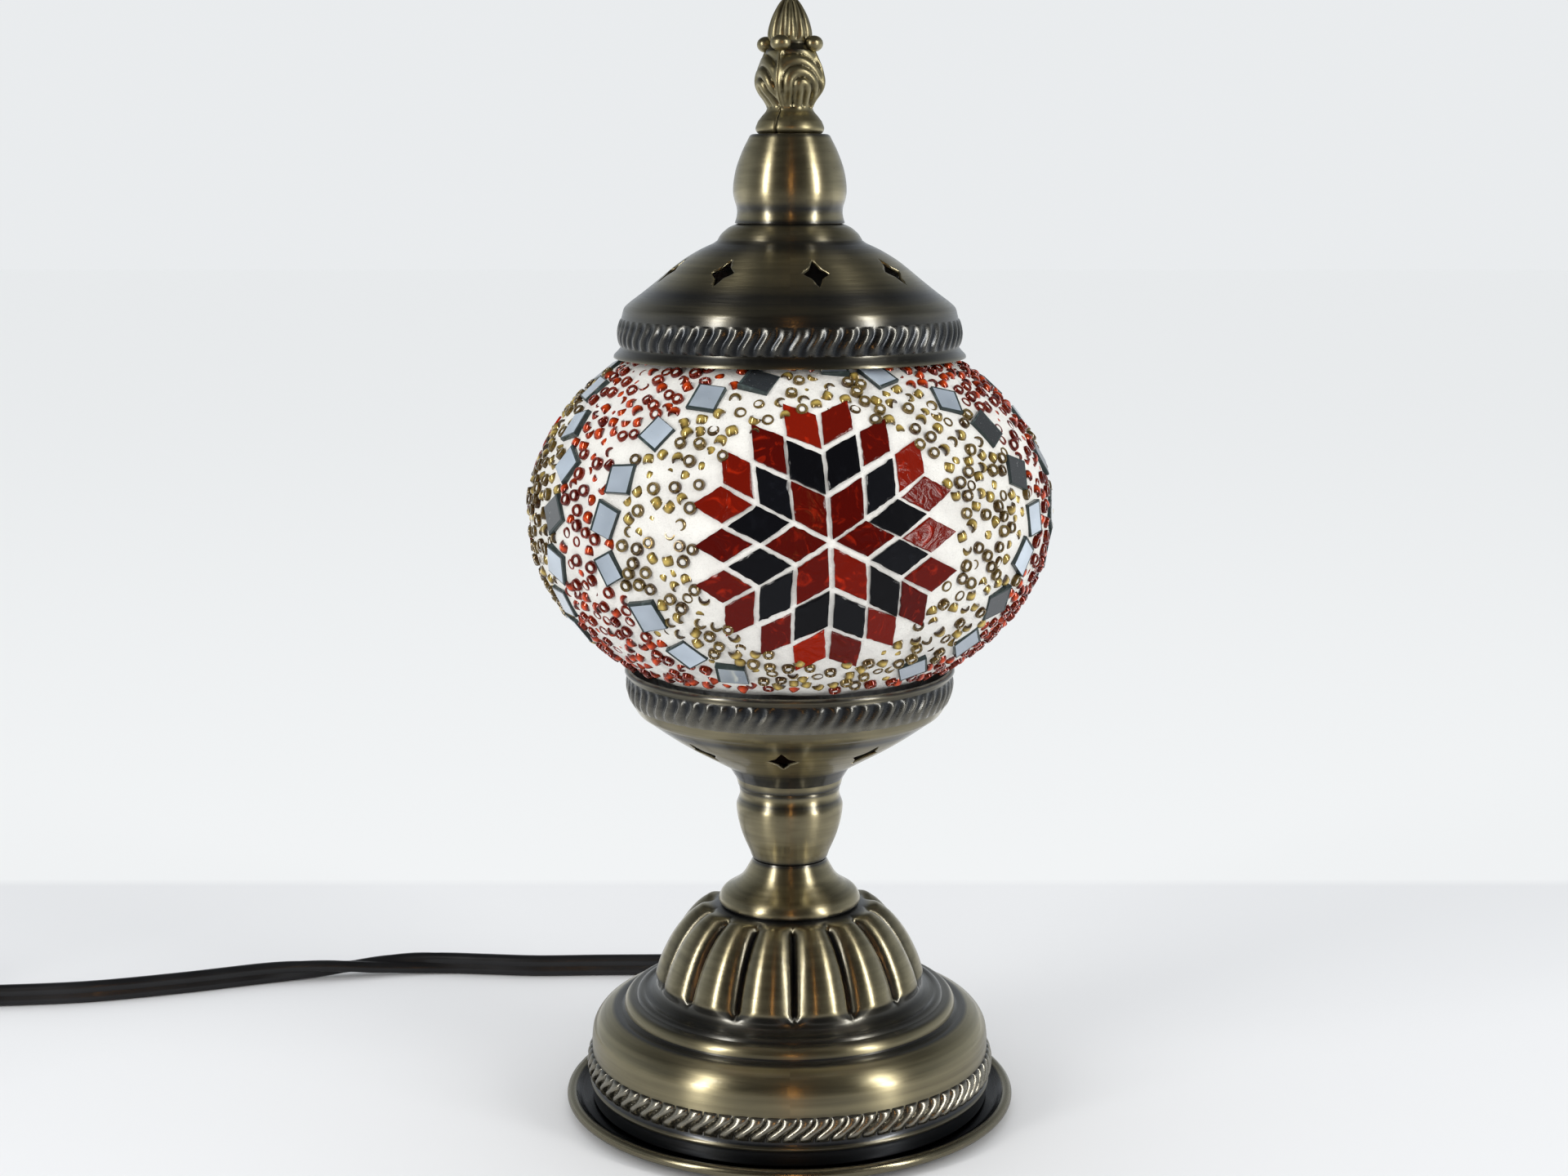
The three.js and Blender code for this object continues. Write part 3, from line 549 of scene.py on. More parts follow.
def cord_lean(point):
    """The cord turns over in a half twist near the left of the view."""
    return math.pi * float(1 - smoothstep(-158, -92, point[0]))


def make_cord():
    """The whole cord as one tube, from inside the foot to inside the plug."""
    coil = coil_route()
    path = curve([*LAMP_TO_SWITCH, *SWITCH_TO_COIL, *coil, *COIL_TO_PLUG], 2.2)
    cord = swept("power_cord", path, flat_twin_section(), cord_lean)
    return cord


# ------------------------------------------------------------------- materials

def metal(name, bright, shade, roughness, brushing, coat, anisotropy):
    """Turned and brushed metal: fine lines round the lamp's axis, and dark patina wherever
    the mesh's own patina value says, with a little more in a slow mottle."""
    look = Material(name, Metallic=1.0, Anisotropic=anisotropy, Anisotropic_Rotation=0.25,
                    Coat_Weight=coat, Coat_Roughness=0.12)
    x, y, z = look.split(look.place)
    radius = look.length(look.join(x, y))
    streak = look.times(look.math("ARCTAN2", x, y), 0.0012)
    lines_at = look.join(radius, streak, z)
    fine = look.noise(3600, 3, 0.6, lines_at)
    broad = look.ramp(look.noise(620, 2, at=lines_at), 0.3, 0.7)
    worn = look.times(look.ramp(look.noise(55, 3, 0.6), 0.35, 0.75), 0.16)
    patina = look.clamp(look.plus(look.held("patina"), look.times(worn, broad)))
    look.colour(patina, look.mix(broad, bright, tuple(0.74 * c for c in bright)), shade)
    look.roughness(look.ramp(fine, 0.25, 0.75), roughness, 0.14)
    look.bump(fine, 0.00002 * brushing)
    tangent = look.node("ShaderNodeTangent", direction_type="RADIAL", axis="Z")
    look.drive("Tangent", tangent.outputs[0])
    return look.made


def plain_metal(name, colour, roughness):
    """Small hardware: plated or bright metal with a faint grain."""
    look = Material(name, Metallic=1.0)
    grain = look.noise(900, 3, 0.6)
    look.colour(look.ramp(grain, 0.3, 0.7), colour, tuple(0.7 * c for c in colour))
    look.roughness(grain, roughness, 0.16)
    look.bump(grain, 0.00001)
    return look.made


def plastic(name, colour, roughness, grain_size, grain_depth, coat=0.0):
    """Moulded plastic, rubber or vinyl with a fine texture."""
    look = Material(name, Coat_Weight=coat, Coat_Roughness=0.1)
    slow = look.noise(60)
    look.colour(look.ramp(slow, 0.3, 0.75), colour, tuple(1.5 * c + 0.004 for c in colour))
    look.roughness(slow, roughness, 0.12)
    look.bump(look.noise(1 / grain_size), grain_depth)
    return look.made


def grout_material():
    """Off-white, matt and grainy, with slow stains and pin-holes."""
    look = Material("grout_white", Specular_IOR_Level=0.3)
    stain = look.ramp(look.noise(90, 4, 0.65), 0.4, 0.72)
    grain = look.noise(2600, 3, 0.65)
    base = look.mix(stain, (0.80, 0.79, 0.75), (0.68, 0.665, 0.635))
    shaded = look.times(look.ramp(grain, 0.5, 0.75), 0.35)
    base = look.mix(shaded, base, (0.5, 0.49, 0.46))
    speck = look.times(look.ramp(grain, 0.62, 0.8), 0.5)
    look.colour(speck, base, (0.5, 0.47, 0.43))
    look.drive("Roughness", look.ramp(grain, -0.6, 1.0))
    look.bump(look.plus(look.times(grain, 0.35), look.noise(380, 3)), 0.0004)
    return look.made


def tile_glass(name, deep, light, waviness):
    """Coloured sheet glass on a mirrored back: a clear gloss over mottled colour."""
    look = Material(name, Roughness=0.12, Specular_IOR_Level=0.25)
    swirl = look.noise(170, 4, distortion=2.2)
    glow = look.times(look.ramp(swirl, 0.56, 0.78), 0.5)
    amount = look.clamp(look.plus(glow, look.times(look.held("tone"), 0.42)))
    look.colour(amount, deep, light)
    look.bump(swirl, 0.0002 * waviness)
    return look.made


def chipped_edge_material():
    """The rubbed-down edge of a cut tile: grey glass with white chips along it."""
    look = Material("tile_edge_glass", Roughness=0.3)
    chips = look.ramp(look.noise(2400, 2, 0.7), 0.5, 0.62)
    look.colour(chips, (0.15, 0.10, 0.10), (0.8, 0.77, 0.75))
    look.bump(chips, 0.0001)
    return look.made


def bead_glass(name, deep, light):
    """Glossy glass with a lined hole, coloured by painted light and shade: a painted highlight where
    the lining shows, painted shade at the ends.
    """
    look = Material(name, Roughness=0.14, IOR=1.5, Metallic=0.5, Coat_Weight=1.0)
    cloud = look.times(look.noise(900), 0.3)
    # The tone holds the bead's painted light and shade, with a little random cloud
    amount = look.clamp(look.plus(look.held("tone"), look.plus(cloud, -0.15)))
    look.colour(amount, deep, light)
    look.bump(look.noise(700, 1), 0.00004)
    return look.made


def mirror_material():
    """Silvering behind glass, its reflection painted as colour: from black on some tiles to a pale
    blue that stands for the bright room, with a few specks.
    """
    look = Material("mirror_painted_reflection", Metallic=0.3, Coat_Weight=1.0)
    speck = look.ramp(look.noise(1500), 0.66, 0.74)
    cloud = look.times(look.ramp(look.noise(130, 1), 0.3, 0.7), 0.6)
    # Painted reflection: the pale blue stands for the bright room mirrored in the tiles
    pale = look.mix(cloud, (0.66, 0.76, 0.88), (0.42, 0.49, 0.57))
    painted_reflection = look.mix(look.held("tone"), (0.01, 0.011, 0.011), pale)
    look.colour(look.times(speck, 0.5), painted_reflection, (0.3, 0.31, 0.32))
    look.drive("Roughness", look.ramp(speck, -0.12, 3.0))
    look.bump(look.noise(160, 1), 0.00006)
    return look.made


def clear_glass(name, roughness, tint):
    look = Material(name, IOR=1.5, Transmission_Weight=1.0)
    cloud = look.noise(80)
    look.colour(cloud, tint, tuple(0.94 * c for c in tint))
    look.roughness(cloud, roughness + 0.025, 0.05)
    look.bump(cloud, 0.00005)
    return look.made


def felt_material():
    look = Material("felt_green", Sheen_Weight=0.6, Roughness=0.95)
    fibre = look.noise(1800, 4, 0.7)
    look.colour(fibre, (0.012, 0.03, 0.018), (0.05, 0.085, 0.055))
    look.bump(fibre, 0.0003)
    return look.made


BRASS = metal("antique_brass", (0.47, 0.41, 0.25), (0.072, 0.076, 0.083),
              roughness=0.34, brushing=1.0, coat=0.45, anisotropy=0.85)
BAND_BRASS = metal("antique_brass_dark", (0.46, 0.43, 0.35), (0.05, 0.054, 0.06),
                   roughness=0.29, brushing=0.4, coat=0.3, anisotropy=0.0)
DARK_BRASS = metal("lacquered_brass", (0.40, 0.355, 0.23), (0.004, 0.004, 0.005),
                   roughness=0.25, brushing=0.3, coat=0.4, anisotropy=0.3)
CAST_BRASS = metal("cast_brass", (0.42, 0.365, 0.21), (0.035, 0.035, 0.033),
                   roughness=0.36, brushing=0.3, coat=0.1, anisotropy=0.0)
STEEL = plain_metal("zinc_steel", (0.62, 0.62, 0.6), 0.34)
BRIGHT_BRASS = plain_metal("bright_brass", (0.80, 0.62, 0.29), 0.26)
GROUT = grout_material()
RED_TILE = tile_glass("red_tile_glass", (0.06, 0.002, 0.001), (0.55, 0.024, 0.003), 1.0)
BLACK_TILE = tile_glass("black_tile_glass", (0.003, 0.003, 0.004), (0.008, 0.009, 0.012), 0.2)
TILE_EDGE = chipped_edge_material()
RED_BEAD = bead_glass("red_bead_glass", (0.09, 0.002, 0.001), (1.0, 0.10, 0.008))
AMBER_BEAD = bead_glass("amber_bead_glass", (0.05, 0.022, 0.008), (0.85, 0.62, 0.16))
MIRROR = mirror_material()
MIRROR_GLASS = tile_glass("mirror_side_glass", (0.008, 0.012, 0.012), (0.12, 0.16, 0.16), 0.3)
CLEAR_GLASS = clear_glass("bulb_glass_clear", 0.01, (0.97, 0.98, 0.98))
FROSTED_GLASS = clear_glass("globe_glass_frosted", 0.35, (0.93, 0.93, 0.91))
CORD_VINYL = plastic("cord_vinyl_black", (0.005, 0.005, 0.006), 0.34, 0.0006, 0.00002, 0.1)
BLACK_PLASTIC = plastic("black_plastic", (0.014, 0.014, 0.015), 0.42, 0.0003, 0.00004)
RUBBER = plastic("black_rubber", (0.012, 0.012, 0.012), 0.6, 0.0004, 0.00005)
PHENOLIC = plastic("brown_phenolic", (0.035, 0.02, 0.014), 0.38, 0.0008, 0.00002, 0.3)
FELT = felt_material()


# ------------------------------------------------------------------------ foot

FOOT_R = 50
FOOT_SHEET = 1.6
STEM_SHEET = 1.0
SPUN_SHEET = 0.6  # of the bowl and cap
FLUTES = 14
FLUTE_TURN = 2.0  # degrees from the front to the first groove
DOME_R = 36
DOME_LOW = 30
FLUTE_LOW = 31.4
FLUTE_HIGH = 52.0
LOBE_DEPTH = 2.5
LOBE_POWER = 2.3
LOBE_SINK = 1.1  # of a groove's sides below the dome's outline
CREASE_DEPTH = 0.45
ROPE_STRANDS = 82
ROPE_Z = 12.1
ROPE_HALF = 3.15
ROPE_BULGE = 1.6
RELIEF_GAP = 7.5  # degrees each side of the back, left for the strain relief


def flute_relief(angles, line):
    """Plump lobes with a sharp crease between each two."""
    off = off_nearest(np.degrees(angles)[None, :], FLUTES, FLUTE_TURN)
    radius, height = line[:, :1], line[:, 1:]
    from_groove = np.abs(np.radians(off) * radius)
    half_gap = math.pi * radius / FLUTES
    taper = smoothstep(FLUTE_LOW - 0.2, FLUTE_LOW + 2.6, height)
    taper = taper * (1 - smoothstep(FLUTE_HIGH - 1.6, FLUTE_HIGH, height))
    lobe = LOBE_DEPTH * (1 - (1 - np.clip(from_groove / half_gap, 0, 1)) ** LOBE_POWER)
    crease = CREASE_DEPTH * bell(from_groove, 0.7)
    in_dome = (radius < DOME_R) & (height > DOME_LOW)
    push = np.where(in_dome, (lobe - crease - LOBE_SINK) * taper, 0)
    grooves = (0.6 * bell(from_groove, 0.9) + 0.4 * bell(from_groove, 3.0)) * taper
    foot_of_dome = bump_between(28.9, 32.9, 0.9, height) * 0.82
    under_collar = smoothstep(51.0, 52.1, height) * 0.9
    on_ridge = np.abs(height - 7.5) < 0.45
    rim = bump_between(1.0, 9.2, 0.4, height) * np.where(on_ridge, 0.5, 0.97)
    below_beads = bump_between(25.5, 26.3, 0.2, height) * 0.85
    dark = np.broadcast_arrays(grooves, foot_of_dome, under_collar, rim, below_beads)
    return push, np.maximum.reduce(dark)


def make_foot_shell():
    """Wall, shoulder, bead ring and fluted dome in one sheet, open at the strain relief."""
    wall = node_box("base_shell")[0].z
    outer = [
        *rounded([(48.9, wall), (50, wall), (50, 6.7), (50.8, 7.5), (50, 8.3), (50, 16.5)], 0.5),
        *curve([(50, 18), (49.5, 21.2), (47.6, 23.9), (44.8, 25.4), (42.4, 25.5)], 0.5),
        *curve([(41.8, 25.9), (41.6, 27.4), (40.6, 28.5), (39.2, 28.7)], 0.25),
        *curve([(38.7, 28.8), (38.2, 29.5), (37.3, 29.8), (36.4, 29.6)], 0.25),
        *curve([(35.4, 29.8), (33.4, 31), (32.4, 34), (30.9, 38.3), (28, 43.9), (24.1, 48.6),
                (19.5, 51.6), (17, 52.2)], 0.45),
        (11, 52.2),
        (5.6, 52.2),
    ]
    inner = inset([(50, wall), (50, 18), (47.6, 23.6), (42, 25.6), (32.5, 30.4), (29.5, 38),
                   (26.6, 43.4), (16, 52.1), (5.6, 52.2)], FOOT_SHEET)
    shell = turned("foot_shell", outer, inner, 40 * FLUTES, flute_relief)
    cut_with(shell, [relief_cutter()])
    return finish_piece(shell, "lamp_base", "antique_brass", BRASS, "base_shell")


def strand_relief(angles, line):
    """A twisted rope: slanted strands that lean right, rounded and tucked in at both edges."""
    across_band = (line[:, 1:] - ROPE_Z) / ROPE_HALF
    pitch = FULL_TURN / ROPE_STRANDS
    lean = 0.5 * pitch * (across_band + 0.35 * np.sin(math.pi * across_band))
    phase = ((angles[None, :] - lean) / pitch) % 1 - 0.5
    strand = np.sqrt(np.clip(1 - (2.05 * phase) ** 2, 0, 1))
    edge = np.sqrt(np.clip(1 - across_band ** 2, 0, 1))
    at_back = np.abs(np.degrees(angles) - 180)[None, :] < RELIEF_GAP
    push = np.where(at_back, -0.6, ROPE_BULGE * strand * edge ** 0.8 - 0.25)
    return push, np.clip(1.0 - strand * edge * 1.5, 0, 1)


def make_rope_band():
    low, high = ROPE_Z - ROPE_HALF, ROPE_Z + ROPE_HALF
    outer = [(FOOT_R, low + 0.3 * i) for i in range(22)]
    inner = [(FOOT_R - 0.8, high), (FOOT_R - 0.8, low)]
    band = turned("rope_band", outer, inner, 14 * ROPE_STRANDS, strand_relief, 60)
    return finish_piece(band, "lamp_base", "antique_brass", BAND_BRASS)


def saucer_patina(angles, line):
    """Black lacquer in the trough, worn to brass on the rolled rim."""
    radius = line[:, :1] + 0 * angles[None, :]
    return 0 * radius, np.where(radius > 54.0, 0.12, 1.0)


def make_saucer():
    """A thin dish under the foot, with a rolled rim."""
    low, high = node_box("base_saucer")
    plate = low.z
    roll = 1.35
    roll_x, roll_z = high.x - roll, high.z - roll
    line = [(36, plate + 1.0), (50.2, plate + 1.0)]
    line += curve([(50.6, plate + 1.0), (52.4, plate + 1.25), (53.4, plate + 1.9),
                   (54.1, roll_z + 0.9)], 0.3)[1:]
    for i in range(13):
        angle = math.radians(150 - 20 * i)
        line.append((roll_x + roll * math.cos(angle), roll_z + roll * math.sin(angle)))
    under = [(53.4, plate + 0.3), (50.8, plate), (36, plate)]
    saucer = turned("foot_saucer", [*line, *under], [(36, plate + 0.5)], 256, saucer_patina)
    return finish_piece(saucer, "lamp_base", "dark_brass", DARK_BRASS, "base_saucer")


def make_felt_pad():
    high = node_box("base_pad")[1]
    outer = rounded([(0, 0), (high.x, 0), (high.x, high.z), (0, high.z)], 0.35)
    pad = turned("felt_pad", outer, (), 128)
    return finish_piece(pad, "lamp_base", "felt", FELT, "base_pad")


# The strain relief points out of the foot's back wall, a little downwards
RELIEF_PLACE = (0, FOOT_R, 12.3)
RELIEF_TURN = Matrix.Rotation(math.radians(-100), 4, "X")
FLEX_SLOTS = 5


def relief_cutter():
    return move(rod("relief_cutter", 4.5, -7, 4.4, 48), RELIEF_PLACE, RELIEF_TURN)


def make_strain_relief():
    """A tapered sleeve with a flange and five flexing slots round it."""
    line = [(0, -4), (4.2, -4), (4.2, 1), (5.8, 1), (5.8, 2.6), (4.25, 2.6)]
    for i in range(FLEX_SLOTS):
        start = 5 + 3.1 * i
        radius = 4.15 - 0.11 * i
        line += [(radius, start), (radius - 0.9, start + 0.25), (radius - 0.9, start + 1.25),
                 (radius - 0.05, start + 1.5)]
    line += [(3.6, 21), (0, 21)]
    sleeve = turned("strain_relief_sleeve", rounded(line, 0.3), (), 64)
    move(sleeve, RELIEF_PLACE, RELIEF_TURN)
    return finish_piece(sleeve, "lamp_base", "black_rubber", RUBBER, "strain_relief")


# ------------------------------------------------------------------------ stem

def crease_patina(*creases):
    """Dark patina near the given heights, each with its own half width."""
    def relief(angles, line):
        height = line[:, 1:] + 0 * angles[None, :]
        dark = np.zeros_like(height)
        for middle, half in creases:
            dark = np.maximum(dark, DEEP_PATINA * bell(height - middle, half))
        return 0 * height, dark
    return relief


def brass_part(name, outer, inner, segments, creases, body, node, cutters=()):
    """A turned part of the lamp, dark in its creases."""
    part = turned(name, outer, inner, segments, crease_patina(*creases))
    if cutters:
        cut_with(part, cutters)
    return finish_piece(part, body, "antique_brass", BRASS, node)


def make_collar():
    outer = [
        (5.6, 52.5), *rounded([(16.9, 52.5), (17.4, 52.5), (17.8, 53.4)], 0.3),
        *curve([(17.6, 54.2), (16.6, 55.7), (13.9, 57.4), (11.8, 59.3), (10.2, 61.9),
                (9.3, 63.6)], 0.4),
        *rounded([(9.2, 63.9), (8.6, 63.9), (5.6, 63.9)], 0.2),
    ]
    inner = inset([(5.6, 52.5), (16.9, 52.5), (16.6, 55.2), (11.6, 59.3), (9.2, 63.9),
                   (5.6, 63.9)], STEM_SHEET)
    creases = ((52.6, 0.5), (63.7, 0.6))
    return brass_part("stem_collar_skin", outer, inner, 128, creases, "lamp_base", "stem_collar")


def make_neck():
    outer = [
        (5.6, 64.2), *rounded([(9.0, 64.2), (9.4, 64.3), (9.7, 65.1)], 0.2),
        *curve([(10, 66), (11.8, 70.2), (12.9, 74.2), (13.3, 77.4), (13.1, 78.6)], 0.4),
        *curve([(12.7, 79.6), (12.4, 80.8), (12.55, 82.1)], 0.3),
        *rounded([(12.4, 82.66), (11.8, 82.66), (5.6, 82.66)], 0.2),
    ]
    inner = inset([(5.6, 64.2), (9.2, 64.2), (12.7, 74.2), (13, 78), (12.2, 82.66),
                   (5.6, 82.4)], STEM_SHEET)
    creases = ((64.4, 0.7), (79.3, 0.8), (82.3, 0.5))
    return brass_part("stem_neck_skin", outer, inner, 128, creases, "lamp_base", "stem_neck")


STAR_HOLES = 8
STAR_HOLLOW = 0.44  # how far a star's sides are drawn in, as a share of its reach


def star_cutter(width, height, radius, z, slope, turn):
    """A blunt four-pointed star with hollow sides, square to the shell at that place."""
    outline = []
    for c, s in circle(24):
        reach = 1 - STAR_HOLLOW * abs(2 * c * s) ** 0.9
        outline.append((width * reach * c, height * reach * s))
    vertices = [(x, y, depth) for depth in (-4, 4) for x, y in outline]
    cutter = mesh_object("star_cutter", vertices, tube_faces(2, len(outline)))
    azimuth = math.radians(turn - 90)
    tilt = math.radians(slope)
    outward = Vector((math.cos(azimuth), math.sin(azimuth), 0))
    around = Vector((-outward.y, outward.x, 0))
    normal = outward * math.cos(tilt) + Vector((0, 0, math.sin(tilt)))
    place = Matrix((around, normal.cross(around), normal)).transposed().to_4x4() * MM
    place[3][3] = 1
    return move(cutter, outward * radius + Vector((0, 0, z)), place)


def star_cutters(turn, **star):
    """Equally spaced star holes, the first at the given turn."""
    return [star_cutter(turn=turn + 360 * i / STAR_HOLES, **star) for i in range(STAR_HOLES)]


RIB_LEAN = 0.24  # of a rib's head, as a share of the ribs' spacing


def ribs(count, low, high, reach, swell, patina, plain_azimuth=None):
    """A band of slanted ribs between two heights, fuller at the head by swell, with the
    patina given for its foot and its head. The ribs are worn flat at plain_azimuth."""
    def relief(angles, line):
        height = line[:, 1:]
        middle, half = (low + high) / 2, (high - low) / 2
        across_band = np.clip((height - middle) / half, -1, 1)
        pitch = FULL_TURN / count
        slant = RIB_LEAN * pitch * (across_band + 0.5 * np.sin(math.pi * across_band))
        phase = ((angles[None, :] - slant) / pitch) % 1 - 0.5
        rib = np.cos(math.pi * phase) ** 2
        ends = np.sqrt(np.clip(1 - across_band ** 2, 0, 1)) * (1 + swell * across_band)
        depth = np.ones_like(angles)[None, :]
        if plain_azimuth is not None:
            off = off_nearest(np.degrees(angles), 1, plain_azimuth)
            depth = depth - 0.85 * bell(off, 5)[None, :]
        held = patina[0] + (patina[1] - patina[0]) * (across_band + 1) / 2
        dark = held + 0.4 * (1 - rib) * ends
        return reach * rib * ends * depth, np.clip(dark, 0, 1)
    return relief


BOWL_RIBS = 66
BOWL_WALL = [(37.6, 102.2), (38.6, 103.8), (39.4, 106), (39.85, 108.6), (40, 111.4)]
BOWL_RIM = [(40.05, 111.6), (40.6, 111.8), (40.8, 112.3), (40.5, 112.85), (39.9, 113)]


def make_bowl():
    """The spun bowl that holds the globe, with a rolled rim and eight star holes."""
    outer = [
        (5.6, 82.7), *rounded([(12.4, 82.7), (12.8, 82.8), (13.1, 84)], 0.2),
        *curve([(13.2, 84.4), (13.5, 85.4), (14.2, 86.8), (15.1, 87.9)], 0.3),
        *curve([(15.6, 88.1), (19.6, 90.4), (25, 93.5), (30.2, 96.8), (35.6, 100.7)], 0.5),
        *curve([(35.9, 101), (36.6, 101.4), *BOWL_WALL], 0.4),
        *curve(BOWL_RIM, 0.2),
    ]
    inner = inset([(5.6, 82.7), (12.6, 82.7), (16, 88.1), (29.6, 96.2), (36.8, 101), (39.6, 106.5),
                   (40.1, 112.9)], SPUN_SHEET)
    creases = ((83, 0.7), (87.2, 1.8), (99.6, 1.3), (109, 4.2), (112.6, 0.5))
    stars = star_cutters(-3.6, width=3.9, height=5.7, radius=27.3, z=94.9, slope=-57)
    return brass_part("bowl_shell", outer, inner, 256, creases, "lamp_base", "bowl", stars)


def band_line(points, low, high, steps=20):
    """Points of a shell's outer line between two heights, for a band that lies on it."""
    heights = [low + (high - low) * i / steps for i in range(steps + 1)]
    known = sorted(points, key=lambda p: p[1])
    radii = np.interp(heights, [p[1] for p in known], [p[0] for p in known])
    return [(float(r) + 0.04, h) for r, h in zip(radii, heights)]


def ribbed_band(name, body, line, count, relief):
    """A thin ring of ribs that lies on a shell."""
    inner = [(r - 0.5, z) for r, z in line[::-1]]
    band = turned(name, line, inner, 14 * count, relief)
    return finish_piece(band, body, "antique_brass", BAND_BRASS)


def make_bowl_band():
    line = band_line(curve(BOWL_WALL, 0.4), 104.4, 111)
    relief = ribs(BOWL_RIBS, 104.2, 110.9, reach=0.6, swell=0.35, patina=(0.1, 0.8),
                  plain_azimuth=-1)
    return ribbed_band("bowl_ribbed_band", "lamp_base", line, BOWL_RIBS, relief)


# ------------------------------------------------------------------------- cap

CAP_RIBS = 68
CAP_WALL = [(40.7, 192), (41, 195), (40.6, 198.6)]


def make_cap():
    """The spun cap, from its lip up over its shoulder to the step under the chimney."""
    outer = [
        *rounded([(42.0, 189.3), (42.6, 189.2), (42.5, 189.7)], 0.1),
        *curve([(42.3, 190), (41.5, 190.8), (41, 191.4)], 0.3),
        *curve(CAP_WALL, 0.5),
        *curve([(40.4, 199.4), (39.9, 201), (38.8, 202.1)], 0.4),
        *curve([(38.2, 202.6), (35.5, 204.6), (32.2, 207.2), (26.5, 211.8), (22, 214.6),
                (18.4, 216.3)], 0.5),
        *curve([(17.4, 217), (16.9, 217.9), (16.2, 218.8), (14.6, 220.1), (12.8, 220.9)], 0.3),
        (12.2, 221),
        (2.8, 221),
    ]
    inner = inset([(42.2, 189.6), (40.7, 192), (40.6, 198.6), (38.3, 202.2), (26.3, 211.7),
                   (17, 217), (12.4, 221), (2.8, 221)], SPUN_SHEET)
    creases = ((191, 2), (197.5, 6.5), (204.4, 2.6), (216, 2.0), (221, 0.6))
    stars = star_cutters(12, width=3.2, height=4.9, radius=28.6, z=210.2, slope=50)
    return brass_part("cap_shell", outer, inner, 256, creases, "cap", "cap_dome", stars)


def make_cap_band():
    line = band_line(curve(CAP_WALL, 0.5), 191.9, 198.5)
    relief = ribs(CAP_RIBS, 191.8, 198.5, reach=0.68, swell=-0.15, patina=(0.75, 0.65))
    return ribbed_band("cap_ribbed_band", "cap", line, CAP_RIBS, relief)


def make_chimney():
    outer = [
        (2.8, 221.02), (13.1, 221.02),
        *curve([(13.2, 221.2), (12.85, 222.3), (12.65, 223.6), (12.8, 225), (13.3, 226.6),
                (13.6, 228.6), (13.45, 231), (12.8, 234.2), (11.4, 238), (9.9, 241)], 0.3),
        *rounded([(9.6, 241.6), (9.1, 242), (8.5, 242), (2.8, 242)], 0.3),
    ]
    inner = inset([(2.8, 221.02), (12.4, 221.1), (12.5, 225), (13.2, 229), (12.6, 234.2),
                   (9.2, 242), (2.8, 242)], STEM_SHEET)
    creases = ((221.3, 0.6), (224.6, 1.4), (241.9, 0.5))
    return brass_part("cap_chimney_skin", outer, inner, 128, creases, "cap", "cap_chimney")


# ---------------------------------------------------------------------- finial

FINIAL_PANELS = 4
FINIAL_RIDGE_TURN = -21.0  # degrees right of the front, of the first ridge
BUD_RIBS = 12
BUD_LOW = 263.4
BUD_HIGH = 273.8
ARCH_SPACING = 2.8
ARCH_CENTRE_Z = 252.6
ARCH_LEAN = 0.22
SEAM_AZIMUTH = 335  # of the casting's seam, below the arches


def finial_relief(angles, line):
    """Nested arches in four panels between upright ridges, and a ribbed bud on top."""
    radius, height = line[:, :1], line[:, 1:]
    degrees = np.degrees(angles)[None, :]
    off_ridge = off_nearest(degrees, FINIAL_PANELS, FINIAL_RIDGE_TURN)
    off_panel = off_nearest(degrees, FINIAL_PANELS, FINIAL_RIDGE_TURN + 180 / FINIAL_PANELS)
    across = np.radians(off_panel) * radius + ARCH_LEAN * (height - 253)
    above = np.maximum(height - ARCH_CENTRE_Z, 0)
    from_arch = np.hypot(across, above)
    arches = np.abs(np.sin(math.pi * (from_arch + 0.3) / ARCH_SPACING)) ** 0.6
    body = bump_between(248.6, 261.2, 0.8, height)
    ridge = bell(np.radians(off_ridge) * radius, 0.6)
    ridge = ridge * bump_between(248.2, 263, 0.5, height)
    in_bud = smoothstep(BUD_LOW, BUD_LOW + 1.2, height)
    off_rib = off_nearest(degrees, BUD_RIBS, 4)
    rib = np.abs(np.cos(math.pi * off_rib * BUD_RIBS / 360))
    bud_depth = 0.62 * in_bud * (1 - smoothstep(BUD_HIGH - 1.8, BUD_HIGH, height))
    seam = bell(degrees - SEAM_AZIMUTH, 2.0) * (height < 248)
    push = body * (0.85 * arches - 0.6) * (1 - ridge) + 0.7 * ridge
    push = push + bud_depth * (rib - 0.8) - 0.4 * seam
    dark = body * (1 - arches) * 0.6 * (1 - ridge) + in_bud * (1 - rib) * 0.6
    dark = dark + 0.8 * bump_between(261.2, 263.3, 0.4, height) + 0.7 * seam
    return push, np.clip(dark, 0, 1)


